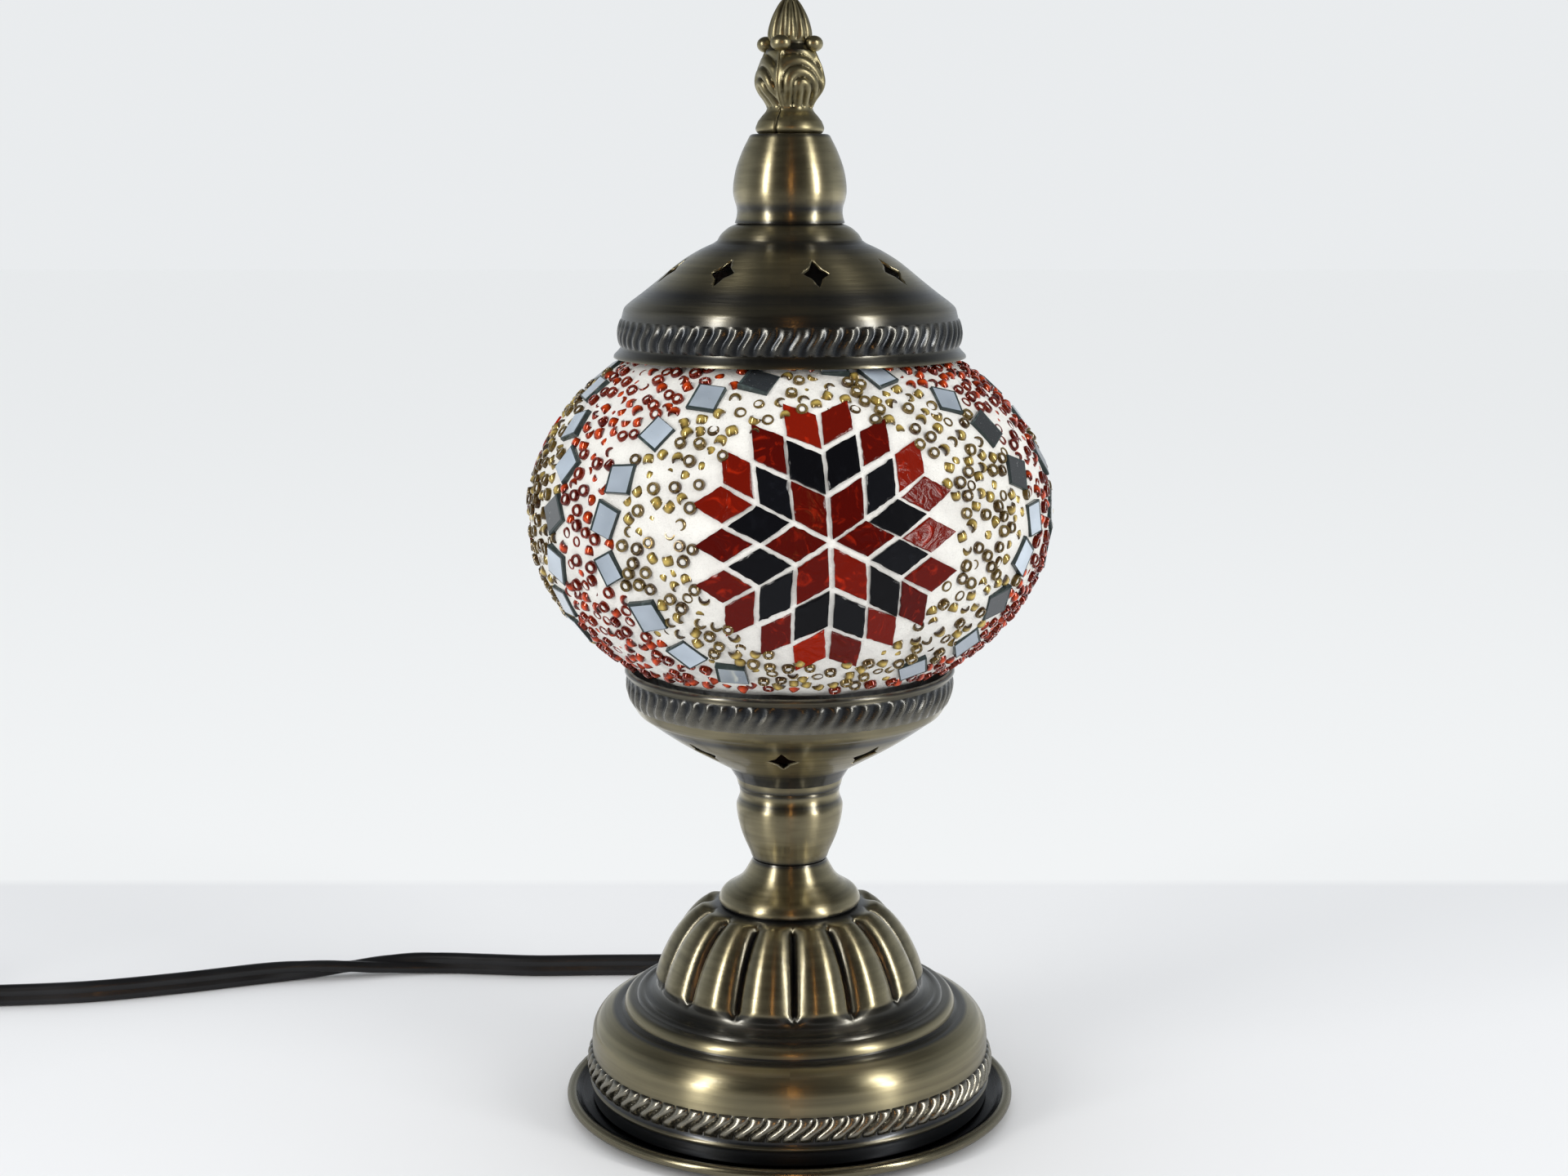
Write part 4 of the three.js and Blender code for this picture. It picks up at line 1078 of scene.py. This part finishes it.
def make_finial():
    """A cast finial, hollow where the stud screws in, with a ball on top of each ridge."""
    top = node_box("finial")[1].z
    outer = [
        (0, 252.9), (2.4, 252.9), (2.4, 242.03),
        *rounded([(7.4, 242.03), (8.0, 242.5), (8.25, 243.4), (7.9, 244.3)], 0.4),
        *curve([(7.6, 245), (6.6, 246.3), (5.8, 247.2), (5.3, 248.3)], 0.3),
        *curve([(5.35, 248.8), (6.2, 250.2), (7.7, 252.2), (8.2, 254.2), (7.7, 256.8), (6.6, 259.4),
                (5.4, 261.8), (4.6, 263)], 0.25),
        *curve([(4.7, 263.4), (5.15, 264.6), (5.0, 266.4), (4.2, 269), (3.1, 271.2), (1.9, 273),
                (0.9, top - 0.25)], 0.25),
        (0, top),
    ]
    finial = turned("finial_cast", outer, (), 240, finial_relief, 60)
    balls = bmesh.new()
    balls.from_mesh(finial.data)
    for i in range(FINIAL_PANELS):
        azimuth = math.radians(FINIAL_RIDGE_TURN + 360 * i / FINIAL_PANELS)
        place = Vector((6.1 * math.sin(azimuth), -6.1 * math.cos(azimuth), 262.9)) * MM
        turn = Matrix.Rotation(azimuth, 4, "Z")
        size = Matrix.Diagonal((2.5 * MM, 2.1 * MM, 1.9 * MM, 1))
        bmesh.ops.create_icosphere(balls, subdivisions=3, radius=1,
                                   matrix=Matrix.Translation(place) @ turn @ size)
    for face in balls.faces:
        face.smooth = True
    balls.to_mesh(finial.data)
    balls.free()
    return finish_piece(finial, "cap", "antique_brass", CAST_BRASS, "finial")


# ---------------------------------------------------------------------- mosaic

def round_point(azimuth, latitude):
    """A point of the ball of radius 1 that is flattened into the mosaic's, from its angles in
    degrees."""
    a, b = math.radians(azimuth), math.radians(latitude)
    return Vector((math.cos(b) * math.sin(a), -math.cos(b) * math.cos(a), math.sin(b)))


def on_grout(round_place, height=0.0):
    """A point in mm, height above the grout, and the surface's outward normal there."""
    x, y, z = round_place
    half_height = GROUT_R * GROUT_FLATTENING
    place = Vector((x * GROUT_R, y * GROUT_R, z * half_height))
    normal = Vector((x / GROUT_R, y / GROUT_R, z / half_height)).normalized()
    return place + Vector((0, 0, GLOBE_Z)) + normal * height, normal


def grout_point(azimuth, latitude):
    return on_grout(round_point(azimuth, latitude))[0]


def surface_frame(azimuth, latitude):
    """The place, and unit vectors to the right, up the surface and outwards."""
    place, normal = on_grout(round_point(azimuth, latitude))
    right = Vector((0, 0, 1)).cross(normal).normalized()
    return place, right, normal.cross(right), normal


def medallion_point(centre_azimuth, x, y, height):
    """A point of a medallion x mm right and y mm above its star's centre, laid on the ball."""
    right, up, normal = surface_frame(centre_azimuth, MEDALLION_LATITUDE)[1:]
    reach = math.hypot(x, y)
    out = normal
    if reach:
        angle = reach / (GROUT_R * (1 - MEDALLION_STRETCH * (y / reach) ** 2))
        out = normal * math.cos(angle) + (right * x + up * y) / reach * math.sin(angle)
    return on_grout(Vector((out.x, out.y, out.z / GROUT_FLATTENING)).normalized(), height)[0]


class Pieces:
    """Many small solids gathered into one mesh, each with its own shade of its colour."""

    def __init__(self):
        self.vertices = []
        self.faces = []
        self.tones = []
        self.materials = []

    def add(self, vertices, faces, tone, materials=None):
        start = len(self.vertices)
        self.vertices += [tuple(v) for v in vertices]
        self.faces += [tuple(start + i for i in face) for face in faces]
        self.tones += [tone] * len(vertices) if isinstance(tone, float) else tone
        self.materials += materials or [0] * len(faces)

    def make(self, name, sharp_degrees=35):
        obj = mesh_object(name, self.vertices, self.faces, sharp_degrees)
        obj.data.polygons.foreach_set("material_index", self.materials)
        return hold(obj, "tone", self.tones)


# How often each wave goes round, its length up the ball, its phase and its depth in mm
GROUT_WAVES = ((7, 9.3, 0.4, 0.10), (13, 5.1, 2.1, 0.07), (23, 3.3, 4.0, 0.05))


def grout_relief(angles, line):
    """The hand-spread unevenness of the grout."""
    uneven = 0
    for turns, wave, phase, depth in GROUT_WAVES:
        uneven = uneven + depth * np.sin(turns * angles[None, :] + phase + line[:, 1:] / wave)
    return uneven, 0 * uneven


def ellipse_line(radius, half_height, reach, steps):
    """The outline of a flattened ball, up to reach degrees below and above its middle."""
    line = []
    for i in range(steps + 1):
        angle = math.radians(-reach + 2 * reach * i / steps)
        line.append((radius * math.cos(angle), GLOBE_Z + half_height * math.sin(angle)))
    return line


def make_grout():
    edge = math.degrees(math.acos(GROUT_EDGE_R / GROUT_R))
    outer = ellipse_line(GROUT_R, GROUT_R * GROUT_FLATTENING, edge, 110)
    inner = ellipse_line(GLOBE_R - 3, GLOBE_R * 0.7508 - 3, edge - 0.6, 40)[::-1]
    grout = turned("mosaic_grout", outer, inner, 320, grout_relief)
    return finish_piece(grout, "globe", "grout", GROUT, "mosaic_layer")


TILE_SIDE = 9.0  # of the star's lattice, from joint to joint
TILE_JOINT = 0.95
TILE_PROUD = 0.62
TILE_DEPTH = 0.9  # of its foot under the grout
STAR_TURN = 2.0  # degrees that the star is turned anticlockwise
STAR_REACH = 29.9  # to the tips of its outer tiles
STAR_NOTCH = 2.6


def tile_outline(corners, rng):
    """The corners pulled in from the joints, with a slightly chipped line between them."""
    centre = sum(corners, Vector((0, 0))) / len(corners)
    pulled = []
    ring = corners[-1:] + corners + corners[:1]
    for before, corner, after in zip(ring, corners, ring[2:]):
        a = (before - corner).normalized()
        b = (after - corner).normalized()
        half = a.angle(b) / 2
        pulled.append(corner + (a + b).normalized() * (TILE_JOINT / 2 / math.sin(half)))
    nudge = Vector((rng.gauss(0, 0.16), rng.gauss(0, 0.16)))
    turn = Matrix.Rotation(rng.gauss(0, 0.035), 2)
    size = rng.uniform(0.95, 1.03)
    outline = []
    for corner, after in zip(pulled, pulled[1:] + pulled[:1]):
        corner = centre + nudge + turn @ (corner - centre) * size
        after = centre + nudge + turn @ (after - centre) * size
        side = (after - corner).orthogonal().normalized()
        for i in range(7):
            chip = rng.gauss(0, 0.07) if i else rng.gauss(0, 0.03)
            outline.append(corner.lerp(after, i / 7) + side * chip)
    return outline


def add_tile(pieces, outline, lift, slopes, tone, to_surface, top_material=0, side_material=1):
    """A slab that stands a little proud of the grout, its top edge rubbed down by a slope at
    each point."""
    centre = sum(outline, Vector((0, 0))) / len(outline)
    count = len(outline)
    vertices = []
    for part, height in ((0, -TILE_DEPTH), (0, lift - 0.16), (1, lift)):
        for point, slope in zip(outline, slopes):
            inward = (centre - point).normalized() * slope * part
            vertices.append(to_surface(point.x + inward.x, point.y + inward.y, height) * MM)
    kinds = [side_material, top_material] + [side_material] * (2 * count)
    pieces.add(vertices, tube_faces(3, count), tone, kinds)


def star_tiles(medallion, centre_azimuth, rng):
    """36 rhombs in six sectors: a red star, a black ring and a red outer ring."""
    red, black = Pieces(), Pieces()

    def to_surface(x, y, height):
        return medallion_point(centre_azimuth, x, y, height)

    side = Vector((TILE_SIDE, 0))
    for sector in range(6):
        turn = 90 + 60 * sector + STAR_TURN
        a = Matrix.Rotation(math.radians(turn), 2) @ side
        b = Matrix.Rotation(math.radians(turn + 60), 2) @ side
        for i in range(3):
            for j in range(3 - i):
                corner = a * i + b * j
                corners = [corner, corner + a, corner + a + b, corner + b]
                outline = tile_outline(corners, rng)
                lift = TILE_PROUD + rng.uniform(-0.15, 0.12)
                slopes = [0.15 + 0.5 * rng.random() ** 2 for _ in outline]
                if i + j == 1:
                    add_tile(black, outline, lift, slopes, rng.random(), to_surface)
                else:
                    brightness = rng.random() ** 2 * (0.45 if i + j == 0 else 1.0)
                    add_tile(red, outline, lift, slopes, brightness, to_surface)
    red_star = red.make(f"red_tiles_{medallion}", 20)
    finish_piece(red_star, "globe", "red_glass", [RED_TILE, TILE_EDGE])
    black_ring = black.make(f"black_tiles_{medallion}", 20)
    finish_piece(black_ring, "globe", "black_glass", [BLACK_TILE, TILE_EDGE])


def ring_places(centre_azimuth, rng):
    """Where a medallion's mirror tiles stand: (azimuth, latitude, turn) in degrees."""
    places = []
    for i in range(RING_TILES):
        bearing = math.radians(360 * i / RING_TILES + rng.gauss(0, 1.2))
        reach = math.radians(RING_RADIUS + rng.gauss(0, 1.5))
        up = math.radians(MEDALLION_LATITUDE)
        latitude = math.asin(math.sin(up) * math.cos(reach)
                             + math.cos(up) * math.sin(reach) * math.cos(bearing))
        aside = math.atan2(math.sin(bearing) * math.sin(reach) * math.cos(up),
                           math.cos(reach) - math.sin(up) * math.sin(latitude))
        latitude = math.degrees(latitude)
        if RING_LOWEST < latitude < MOSAIC_HIGHEST:
            turn = 45 * (i % 2) - 20 + rng.gauss(0, 14)
            places.append((centre_azimuth + math.degrees(aside), latitude, turn))
    return places


MIRROR_WIDTH = (6.2, 7.4)
MIRROR_HEIGHT = (6.8, 8.0)
MIRROR_PROUD = 0.8
MIRROR_FACE = 0.03  # of the silvered face, above the slab's top
MIRROR_SHIFT = 0.3  # of the face towards the star, so the slab's far side shows dark
MIRROR_FACE_SIZE = 0.88  # as a share of the slab's
BLACK_MIRRORS = 0.26  # share of the tiles that are dark


def mirror_tiles(medallion, places, rng):
    """Each mirror is a slab of dark glass that stands proud, under its silvered face."""
    slabs, plates = Pieces(), Pieces()
    for azimuth, latitude, turn in places:
        place, right, up, normal = surface_frame(azimuth, latitude)
        tip = Matrix.Rotation(rng.gauss(0, 0.04), 3, right)
        tip = tip @ Matrix.Rotation(rng.gauss(0, 0.04), 3, up)
        right, up, normal = tip @ right, tip @ up, tip @ normal
        width, tall = rng.uniform(*MIRROR_WIDTH), rng.uniform(*MIRROR_HEIGHT)
        spin = Matrix.Rotation(math.radians(turn), 2)
        corners = [(-width, -tall), (width, -tall), (width, tall), (-width, tall)]
        side = off_nearest(azimuth, MEDALLIONS, MEDALLION_AZIMUTH)
        shift = Vector((-math.copysign(MIRROR_SHIFT, side), rng.gauss(0, 0.12)))
        outline, plate = [], []
        for x, y in corners:
            corner = Vector((x, y)) / 2 + Vector((rng.gauss(0, 0.15), rng.gauss(0, 0.15)))
            outline.append(spin @ corner)
            plate.append(spin @ corner * MIRROR_FACE_SIZE + shift)

        def to_surface(x, y, height):
            return place + right * x + up * y + normal * height

        add_tile(slabs, outline, MIRROR_PROUD, [0.14] * 4, 0.5, to_surface, 0, 0)
        face = [
            to_surface(p.x, p.y, height) * MM
            for height in (MIRROR_PROUD - 0.1, MIRROR_PROUD + MIRROR_FACE) for p in plate
        ]
        # Painted reflection: each silvered face gets a tone, nearly black on some tiles, pale on the
        # rest
        black = rng.random() < BLACK_MIRRORS
        painted_reflection = rng.uniform(0.0, 0.08) if black else rng.uniform(0.65, 1.0)
        plates.add(face, tube_faces(2, 4), painted_reflection)
    cover = slabs.make(f"mirror_glass_{medallion}", 15)
    finish_piece(cover, "globe", "mirror_tile", MIRROR_GLASS)
    backs = plates.make(f"mirror_backs_{medallion}", 15)
    finish_piece(backs, "globe", "mirror_tile", MIRROR)


BEAD_R = 1.5
BEAD_HOLE_R = 0.72
BEAD_HALF = 1.12
BEAD_SPACING = 2.92
FLAT_BEADS = 0.44  # share of the beads that lie with their hole up
UPRIGHT_BEADS = 0.6  # share that lies so or tipped; the rest lies on its side
SUNK_BEADS = 0.2
MISSING_BEADS = 0.02
BEAD_TRIES = 60000
CLEAR_OF_MIRROR = 5.5


def bead_template(segments=14, steps=10):
    """A seed bead: a short tube with round ends, and its painted shading when it lies flat and
    when it lies on its side: painted shade at its rims and ends, and a painted highlight round
    its middle where the lining shows through."""
    middle = (BEAD_R + BEAD_HOLE_R) / 2
    half = (BEAD_R - BEAD_HOLE_R) / 2
    section = [(middle + half * squared(c, 0.9), BEAD_HALF * squared(s, 0.8))
               for c, s in circle(steps)]
    vertices = [Vector((r * c, r * s, z)) for c, s in circle(segments) for r, z in section]
    # Painted shade: a flat bead is dark round its rim and its hole's wall, lighter on its faces
    flat_painted_shading = [0.04 + 0.2 * abs(s) ** 3 for _, s in circle(steps)]
    # Painted highlight round a lying bead's middle, for its lining seen through the glass; painted
    # shade elsewhere
    side_painted_shading = [0.05 + 1.05 * max(0, c) ** 5 for c, _ in circle(steps)]
    faces = strip_faces(segments, steps, True)
    return vertices, faces, flat_painted_shading * segments, side_painted_shading * segments


def plug_template(segments=10):
    """The grout that fills a bead's hole."""
    rows = ((-1.1, BEAD_HOLE_R), (0.7, BEAD_HOLE_R), (0.8, 0.8 * BEAD_HOLE_R))
    vertices = [Vector((r * c, r * s, z)) for z, r in rows for c, s in circle(segments)]
    return vertices, tube_faces(len(rows), segments)


def scatter(rng, taken):
    """Places for beads, no nearer to each other than a bead or to what is taken already."""
    grid = {}
    places = []
    lowest = math.sin(math.radians(BEADS_LOWEST))
    highest = math.sin(math.radians(MOSAIC_HIGHEST))
    around = [(x, y, z) for x in (-1, 0, 1) for y in (-1, 0, 1) for z in (-1, 0, 1)]

    def is_near(point, key):
        for step in around:
            for other in grid.get(tuple(map(sum, zip(key, step))), ()):
                if (other - point).length < BEAD_SPACING:
                    return True
        return False

    for _ in range(BEAD_TRIES):
        azimuth = rng.uniform(-180, 180)
        latitude = math.degrees(math.asin(rng.uniform(lowest, highest)))
        if taken(azimuth, latitude):
            continue
        point = grout_point(azimuth, latitude)
        key = tuple(math.floor(c / BEAD_SPACING) for c in point)
        if not is_near(point, key):
            grid.setdefault(key, []).append(point)
            places.append((azimuth, latitude))
    return places


def add_bead(beads, plugs, azimuth, latitude, shapes, rng):
    """One bead: flat with its hole up, tipped, or lying on its side and half sunk."""
    place, right, up, normal = surface_frame(azimuth, latitude)
    basis = Matrix((right, up, normal)).transposed()
    (vertices, faces, flat_painted_shading, side_painted_shading), (plug_vertices, plug_faces) = shapes
    way = rng.random()
    spin = Matrix.Rotation(rng.uniform(0, FULL_TURN), 3, "Z")
    if way < FLAT_BEADS:
        tip, sunk = rng.gauss(0, 0.16), -0.1
    elif way < UPRIGHT_BEADS:
        tip, sunk = rng.uniform(0.5, 1.0), -0.7
    else:
        tip, sunk = rng.uniform(1.15, math.pi / 2), -0.5
    if rng.random() < SUNK_BEADS:
        sunk -= 0.75
    turn = basis @ spin @ Matrix.Rotation(tip, 3, "X")
    size = rng.uniform(0.94, 1.08)
    origin = place + normal * sunk
    shift = rng.uniform(-0.04, 0.1)
    reach = [turn @ (v * size) for v in vertices]
    # Painted shade, darker still for beads that lie flat
    shades = [0.62 * shade for shade in flat_painted_shading]
    if way >= FLAT_BEADS:
        # Painted light: a bead lying on its side is lighter where it faces out from the grout
        painted_top_light = [0.25 + 0.85 * max(0, v.normalized().dot(normal)) ** 3 for v in reach]
        shades = [shade * light for shade, light in zip(side_painted_shading, painted_top_light)]
    beads.add([(origin + v) * MM for v in reach], faces, [s + shift for s in shades])
    if way < UPRIGHT_BEADS:
        plugs.add([(origin + turn @ (v * size)) * MM for v in plug_vertices], plug_faces, 0.5)


def covered(mirrors, stars):
    """Tells whether a place on the grout is under a mirror tile or a star."""
    mirror_points = [grout_point(azimuth, latitude) for azimuth, latitude, _ in mirrors]
    star_frames = [surface_frame(azimuth, MEDALLION_LATITUDE) for azimuth in stars]

    def taken(azimuth, latitude):
        point = grout_point(azimuth, latitude)
        if any((point - mirror).length < CLEAR_OF_MIRROR for mirror in mirror_points):
            return True
        for centre, right, up, outward in star_frames:
            away = point - centre
            if away.length > 40 or away.dot(outward) < -30:
                continue
            angle = math.degrees(math.atan2(away.dot(up), away.dot(right)))
            notch = 1 - abs((angle - STAR_TURN) % 20 - 10) / 10
            if away.length < STAR_REACH + STAR_NOTCH * notch:
                return True
        return False

    return taken


def make_mosaic():
    """Grout, stars and mirrors, and then beads where they leave room: amber inside each
    mirror ring and red outside."""
    rng = random.Random(1453)
    make_grout()
    turns = [360 / MEDALLIONS * i for i in range(MEDALLIONS)]
    mirrors = []
    for i, turn in enumerate(turns):
        star_tiles(i + 1, MEDALLION_AZIMUTH + turn, rng)
        places = ring_places(RING_AZIMUTH + turn, rng)
        mirror_tiles(i + 1, places, rng)
        mirrors += places
    taken = covered(mirrors, [MEDALLION_AZIMUTH + turn for turn in turns])
    ring_centres = [round_point(RING_AZIMUTH + turn, MEDALLION_LATITUDE) for turn in turns]
    shapes = (bead_template(), plug_template())
    amber = [Pieces() for _ in turns]
    red = [Pieces() for _ in turns]
    plugs = Pieces()
    for azimuth, latitude in scatter(rng, taken):
        away = [round_point(azimuth, latitude).angle(centre) for centre in ring_centres]
        nearest = away.index(min(away))
        group = amber if away[nearest] < math.radians(RING_RADIUS) else red
        if rng.random() >= MISSING_BEADS:
            add_bead(group[nearest], plugs, azimuth, latitude, shapes, rng)
    for i in range(MEDALLIONS):
        inner = amber[i].make(f"amber_beads_{i + 1}", 60)
        finish_piece(inner, "globe", "amber_glass", AMBER_BEAD)
        outer = red[i].make(f"red_beads_{i + 1}", 60)
        finish_piece(outer, "globe", "red_glass", RED_BEAD)
    finish_piece(plugs.make("bead_hole_grout", 60), "globe", "grout", GROUT)


# ------------------------------------------------------- switch, plug and tie

def soft_box(name, low, high, corner, edge, segments=3):
    """A box in mm with round upright corners and softened edges."""
    shell = bmesh.new()
    bmesh.ops.create_cube(shell, size=1)
    size = Vector(high) - Vector(low)
    for v in shell.verts:
        v.co = (Vector(low) + Vector(high)) / 2 + Vector(a * b for a, b in zip(v.co, size))

    def rise(e):
        return abs(e.verts[0].co.z - e.verts[1].co.z)

    def is_rim(e):
        return rise(e) < 1e-6 and len(e.link_faces) == 2 and e.calc_face_angle() > 1.05

    upright = [e for e in shell.edges if rise(e) > 0.5 * size.z]
    bmesh.ops.bevel(shell, geom=upright, offset=corner, segments=8, profile=0.5, affect="EDGES")
    shell.normal_update()
    rims = [e for e in shell.edges if is_rim(e)]
    bmesh.ops.bevel(shell, geom=rims, offset=edge, segments=segments, profile=0.5, affect="EDGES")
    for v in shell.verts:
        v.co *= MM
    return object_from(name, bpy.data.meshes.new(name), shell, 50)


def small_cut(name, low, high):
    return soft_box(name, low, high, 0.05, 0.02, 1)


CASE_CORNER = 7.5
POCKET_HALF = (9.7, 5.1)
WELL_R = 2.9
GRIP_GROOVES = 5
GROOVE_SPACING = 2.1


def case_cutters(low, high):
    """The rocker's pocket, the screws' wells, and the grip grooves at both ends."""
    middle = (low + high) / 2
    pocket_floor = node_box("switch_rocker")[0].z - 0.6
    along, across = POCKET_HALF
    cutters = [soft_box("pocket_cutter", (middle.x - along, middle.y - across, pocket_floor),
                        (middle.x + along, middle.y + across, high.z + 4), 1.2, 0.05)]
    for number in (1, 2):
        centre = sum(node_box(f"switch_screw_{number}"), Vector()) / 2
        cutters.append(move(rod("well_cutter", WELL_R, 11, 19, 32), (centre.x, centre.y, 0)))
    for i in range(GRIP_GROOVES):
        x = high.x - 4.6 - GROOVE_SPACING * i
        for end in (x, low.x + high.x - x):
            for near, far in ((low.y - 1, low.y + 0.5), (high.y - 0.5, high.y + 1)):
                cutters.append(soft_box("groove_cutter", (end - 0.35, near, low.z + 1.5),
                                        (end + 0.35, far, high.z - 2.5), 0.1, 0.05, 1))
    return cutters


def make_screw(number):
    """A cross-head screw."""
    low, high = node_box(f"switch_screw_{number}")
    line = rounded([(0, low.z), (1.5, low.z), (1.5, high.z - 1.4), (2.6, high.z - 1.4),
                    (2.5, high.z - 0.4), (0, high.z)], 0.2)
    screw = turned(f"switch_screw_head_{number}", line, (), 40)
    slots = []
    for turn in (20, 110):
        slot = small_cut("slot_cutter", (-1.6, -0.3, high.z - 0.9), (1.6, 0.3, high.z + 1))
        slots.append(move(slot, (0, 0, 0), Matrix.Rotation(math.radians(turn), 4, "Z")))
    cut_with(screw, slots)
    middle = (low + high) / 2
    move(screw, (middle.x, middle.y, 0))
    return finish_piece(screw, "lamp_base", "zinc_steel", STEEL, f"switch_screw_{number}")


ROCKER_PIVOT_Z = 14.6
ROCKER_REST_TILT = math.radians(8)
ROCKER_HALF = 8.4
ROCKER_HALF_WIDTH = 4.4


def make_rocker(middle):
    """A dished rocker with three grip lines at each end, at its rest tilt."""
    half = ROCKER_HALF
    top = curve([(-half, 3.3), (-half * 0.6, 2.5), (0, 1.95), (half * 0.6, 2.5), (half, 3.3)], 0.5)
    outline = [(half, 0.4), (5, -3), (-5, -3), (-half, 0.4), *top]
    sides = (-ROCKER_HALF_WIDTH, ROCKER_HALF_WIDTH)
    vertices = [(x, side, z) for side in sides for x, z in outline]
    rocker = mesh_object("switch_rocker_key", vertices, tube_faces(2, len(outline)), 30)
    bevel = rocker.modifiers.new("edges", "BEVEL")
    bevel.width = 0.35
    bevel.segments = 2
    bevel.angle_limit = math.radians(35)
    keep_modified(rocker)
    cut_with(rocker, [small_cut("grip_cutter", (x - 0.2, -3.4, 2.45), (x + 0.2, 3.4, 6))
                      for x in (-7.2, -6.2, -5.2, 5.2, 6.2, 7.2)])
    tilt = Matrix.Rotation(ROCKER_REST_TILT, 4, "Y")
    move(rocker, (middle.x, middle.y, ROCKER_PIVOT_Z), tilt @ Matrix.Scale(MM, 4))
    set_creases(rocker.data, 30)
    return finish_piece(rocker, "rocker", "black_plastic", BLACK_PLASTIC, "switch_rocker")


def make_switch():
    """An in-line rocker switch; returns its pieces."""
    low, high = node_box("switch_lower_case")
    lower = soft_box("switch_lower_half", low, high, CASE_CORNER, 0.7)
    low, high = node_box("switch_upper_case")
    upper = soft_box("switch_upper_half", low, high, CASE_CORNER, 1.6)
    cut_with(upper, case_cutters(low, high))
    set_creases(upper.data, 30)
    finish_piece(lower, "lamp_base", "black_plastic", BLACK_PLASTIC, "switch_lower_case")
    finish_piece(upper, "lamp_base", "black_plastic", BLACK_PLASTIC, "switch_upper_case")
    return [lower, upper, make_rocker((low + high) / 2), make_screw(1), make_screw(2)]


def make_plug():
    """A moulded two-blade plug with a waisted neck and finger grips; returns its pieces."""
    low, high = node_box("plug_body")
    middle = (low + high) / 2
    sections = [
        (0, 3.6, 2.6), (1.2, 4.3, 3.2), (5, 5.2, 4.0), (8.5, 8.0, 5.2), (11.5, 11.3, 6.5),
        (14, 11.95, 6.95), (17, 11.2, 6.5), (20, 11.2, 6.5), (23, 11.95, 6.95),
        (25.4, 11.9, 6.9), (26, 11.4, 6.4),
    ]
    steps = 40
    vertices = []
    for x, wide, tall in sections:
        for c, s in circle(steps):
            y, z = wide * squared(c, 0.45), tall * squared(s, 0.45)
            vertices.append((low.x + x, middle.y + y, middle.z + z))
    body = mesh_object("plug_moulding", vertices, tube_faces(len(sections), steps), 50)
    body.data.transform(Matrix.Scale(MM, 4))
    finish_piece(body, "lamp_base", "black_plastic", BLACK_PLASTIC, "plug_body")
    return [body, make_blade("left"), make_blade("right")]


def make_blade(side):
    """A flat blade with a hole near its tip."""
    low, high = node_box(f"plug_blade_{side}")
    middle = (low + high) / 2
    blade = soft_box(f"plug_blade_{side}_brass", low, high, 0.3, 0.25, 2)
    hole = move(rod("hole_cutter", 1.5, -4, 4, 24), (high.x - 4, middle.y, middle.z),
                Matrix.Rotation(math.pi / 2, 4, "X"))
    cut_with(blade, [hole])
    return finish_piece(blade, "lamp_base", "bright_brass", BRIGHT_BRASS, f"plug_blade_{side}")


TIE_WALL = 0.45
TIE_CORNER = 1.6


def make_tie():
    """A flat strap drawn up against the coil's turns."""
    low, high = node_box("coil_tie")
    low.x += 1.3
    high.x -= 0.6
    middle = Vector(((low.x + high.x) / 2, (low.z + high.z) / 2))
    half = Vector(((high.x - low.x) / 2 - TIE_CORNER, (high.z - low.z) / 2 - TIE_CORNER))
    outline = []
    for start, right, upward in ((0, 1, 1), (90, -1, 1), (180, -1, -1), (270, 1, -1)):
        centre = middle + Vector((half.x * right, half.y * upward))
        for i in range(6):
            angle = math.radians(start + 18 * i)
            outline.append(centre + Vector((math.cos(angle), math.sin(angle))) * TIE_CORNER)
    inside = [p + (middle - p).normalized() * TIE_WALL for p in outline]
    rings = ((outline, low.y), (outline, high.y), (inside, high.y), (inside, low.y))
    vertices = [(p.x * MM, y * MM, p.y * MM) for line, y in rings for p in line]
    tie = mesh_object("coil_strap", vertices, strip_faces(4, len(outline), True), 50)
    return finish_piece(tie, "lamp_base", "black_plastic", BLACK_PLASTIC, "coil_tie")


# -------------------------------------------------------------- what's inside

INSIDE = (
    (STEEL, ("lamp_pipe", "pipe_lower_washer", "pipe_lower_nut", "pipe_upper_washer",
             "pipe_upper_nut", "finial_stud", "cap_washer", "cap_nut", "bulb_tip_contact")),
    (BRIGHT_BRASS, ("socket_screw_shell", "socket_contact", "bulb_screw_cap")),
    (PHENOLIC, ("socket_body", "bulb_insulator")),
    (CORD_VINYL, ("inner_lead",)),
    (CLEAR_GLASS, ("bulb_glass", "bulb_filament_mount")),
    (FROSTED_GLASS, ("glass_globe",)),
)


def finish_inside():
    """Gives the CAD nodes that stay as they are their materials."""
    for material, names in INSIDE:
        for name in names:
            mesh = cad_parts[name].data
            mesh.materials.clear()
            mesh.materials.append(material)


CORD_PIECES = [*make_switch(), *make_plug(), make_tie(), make_strain_relief()]
finish_piece(
    make_cord(), "lamp_base", "cord_vinyl", CORD_VINYL,
    "cord_lamp_to_switch", "cord_switch_to_coil", "cord_coil_to_plug", "cord_coil",
)
make_felt_pad()
make_saucer()
make_foot_shell()
make_rope_band()
make_collar()
make_neck()
make_bowl()
make_bowl_band()
make_cap()
make_cap_band()
make_chimney()
make_finial()
make_mosaic()
finish_inside()
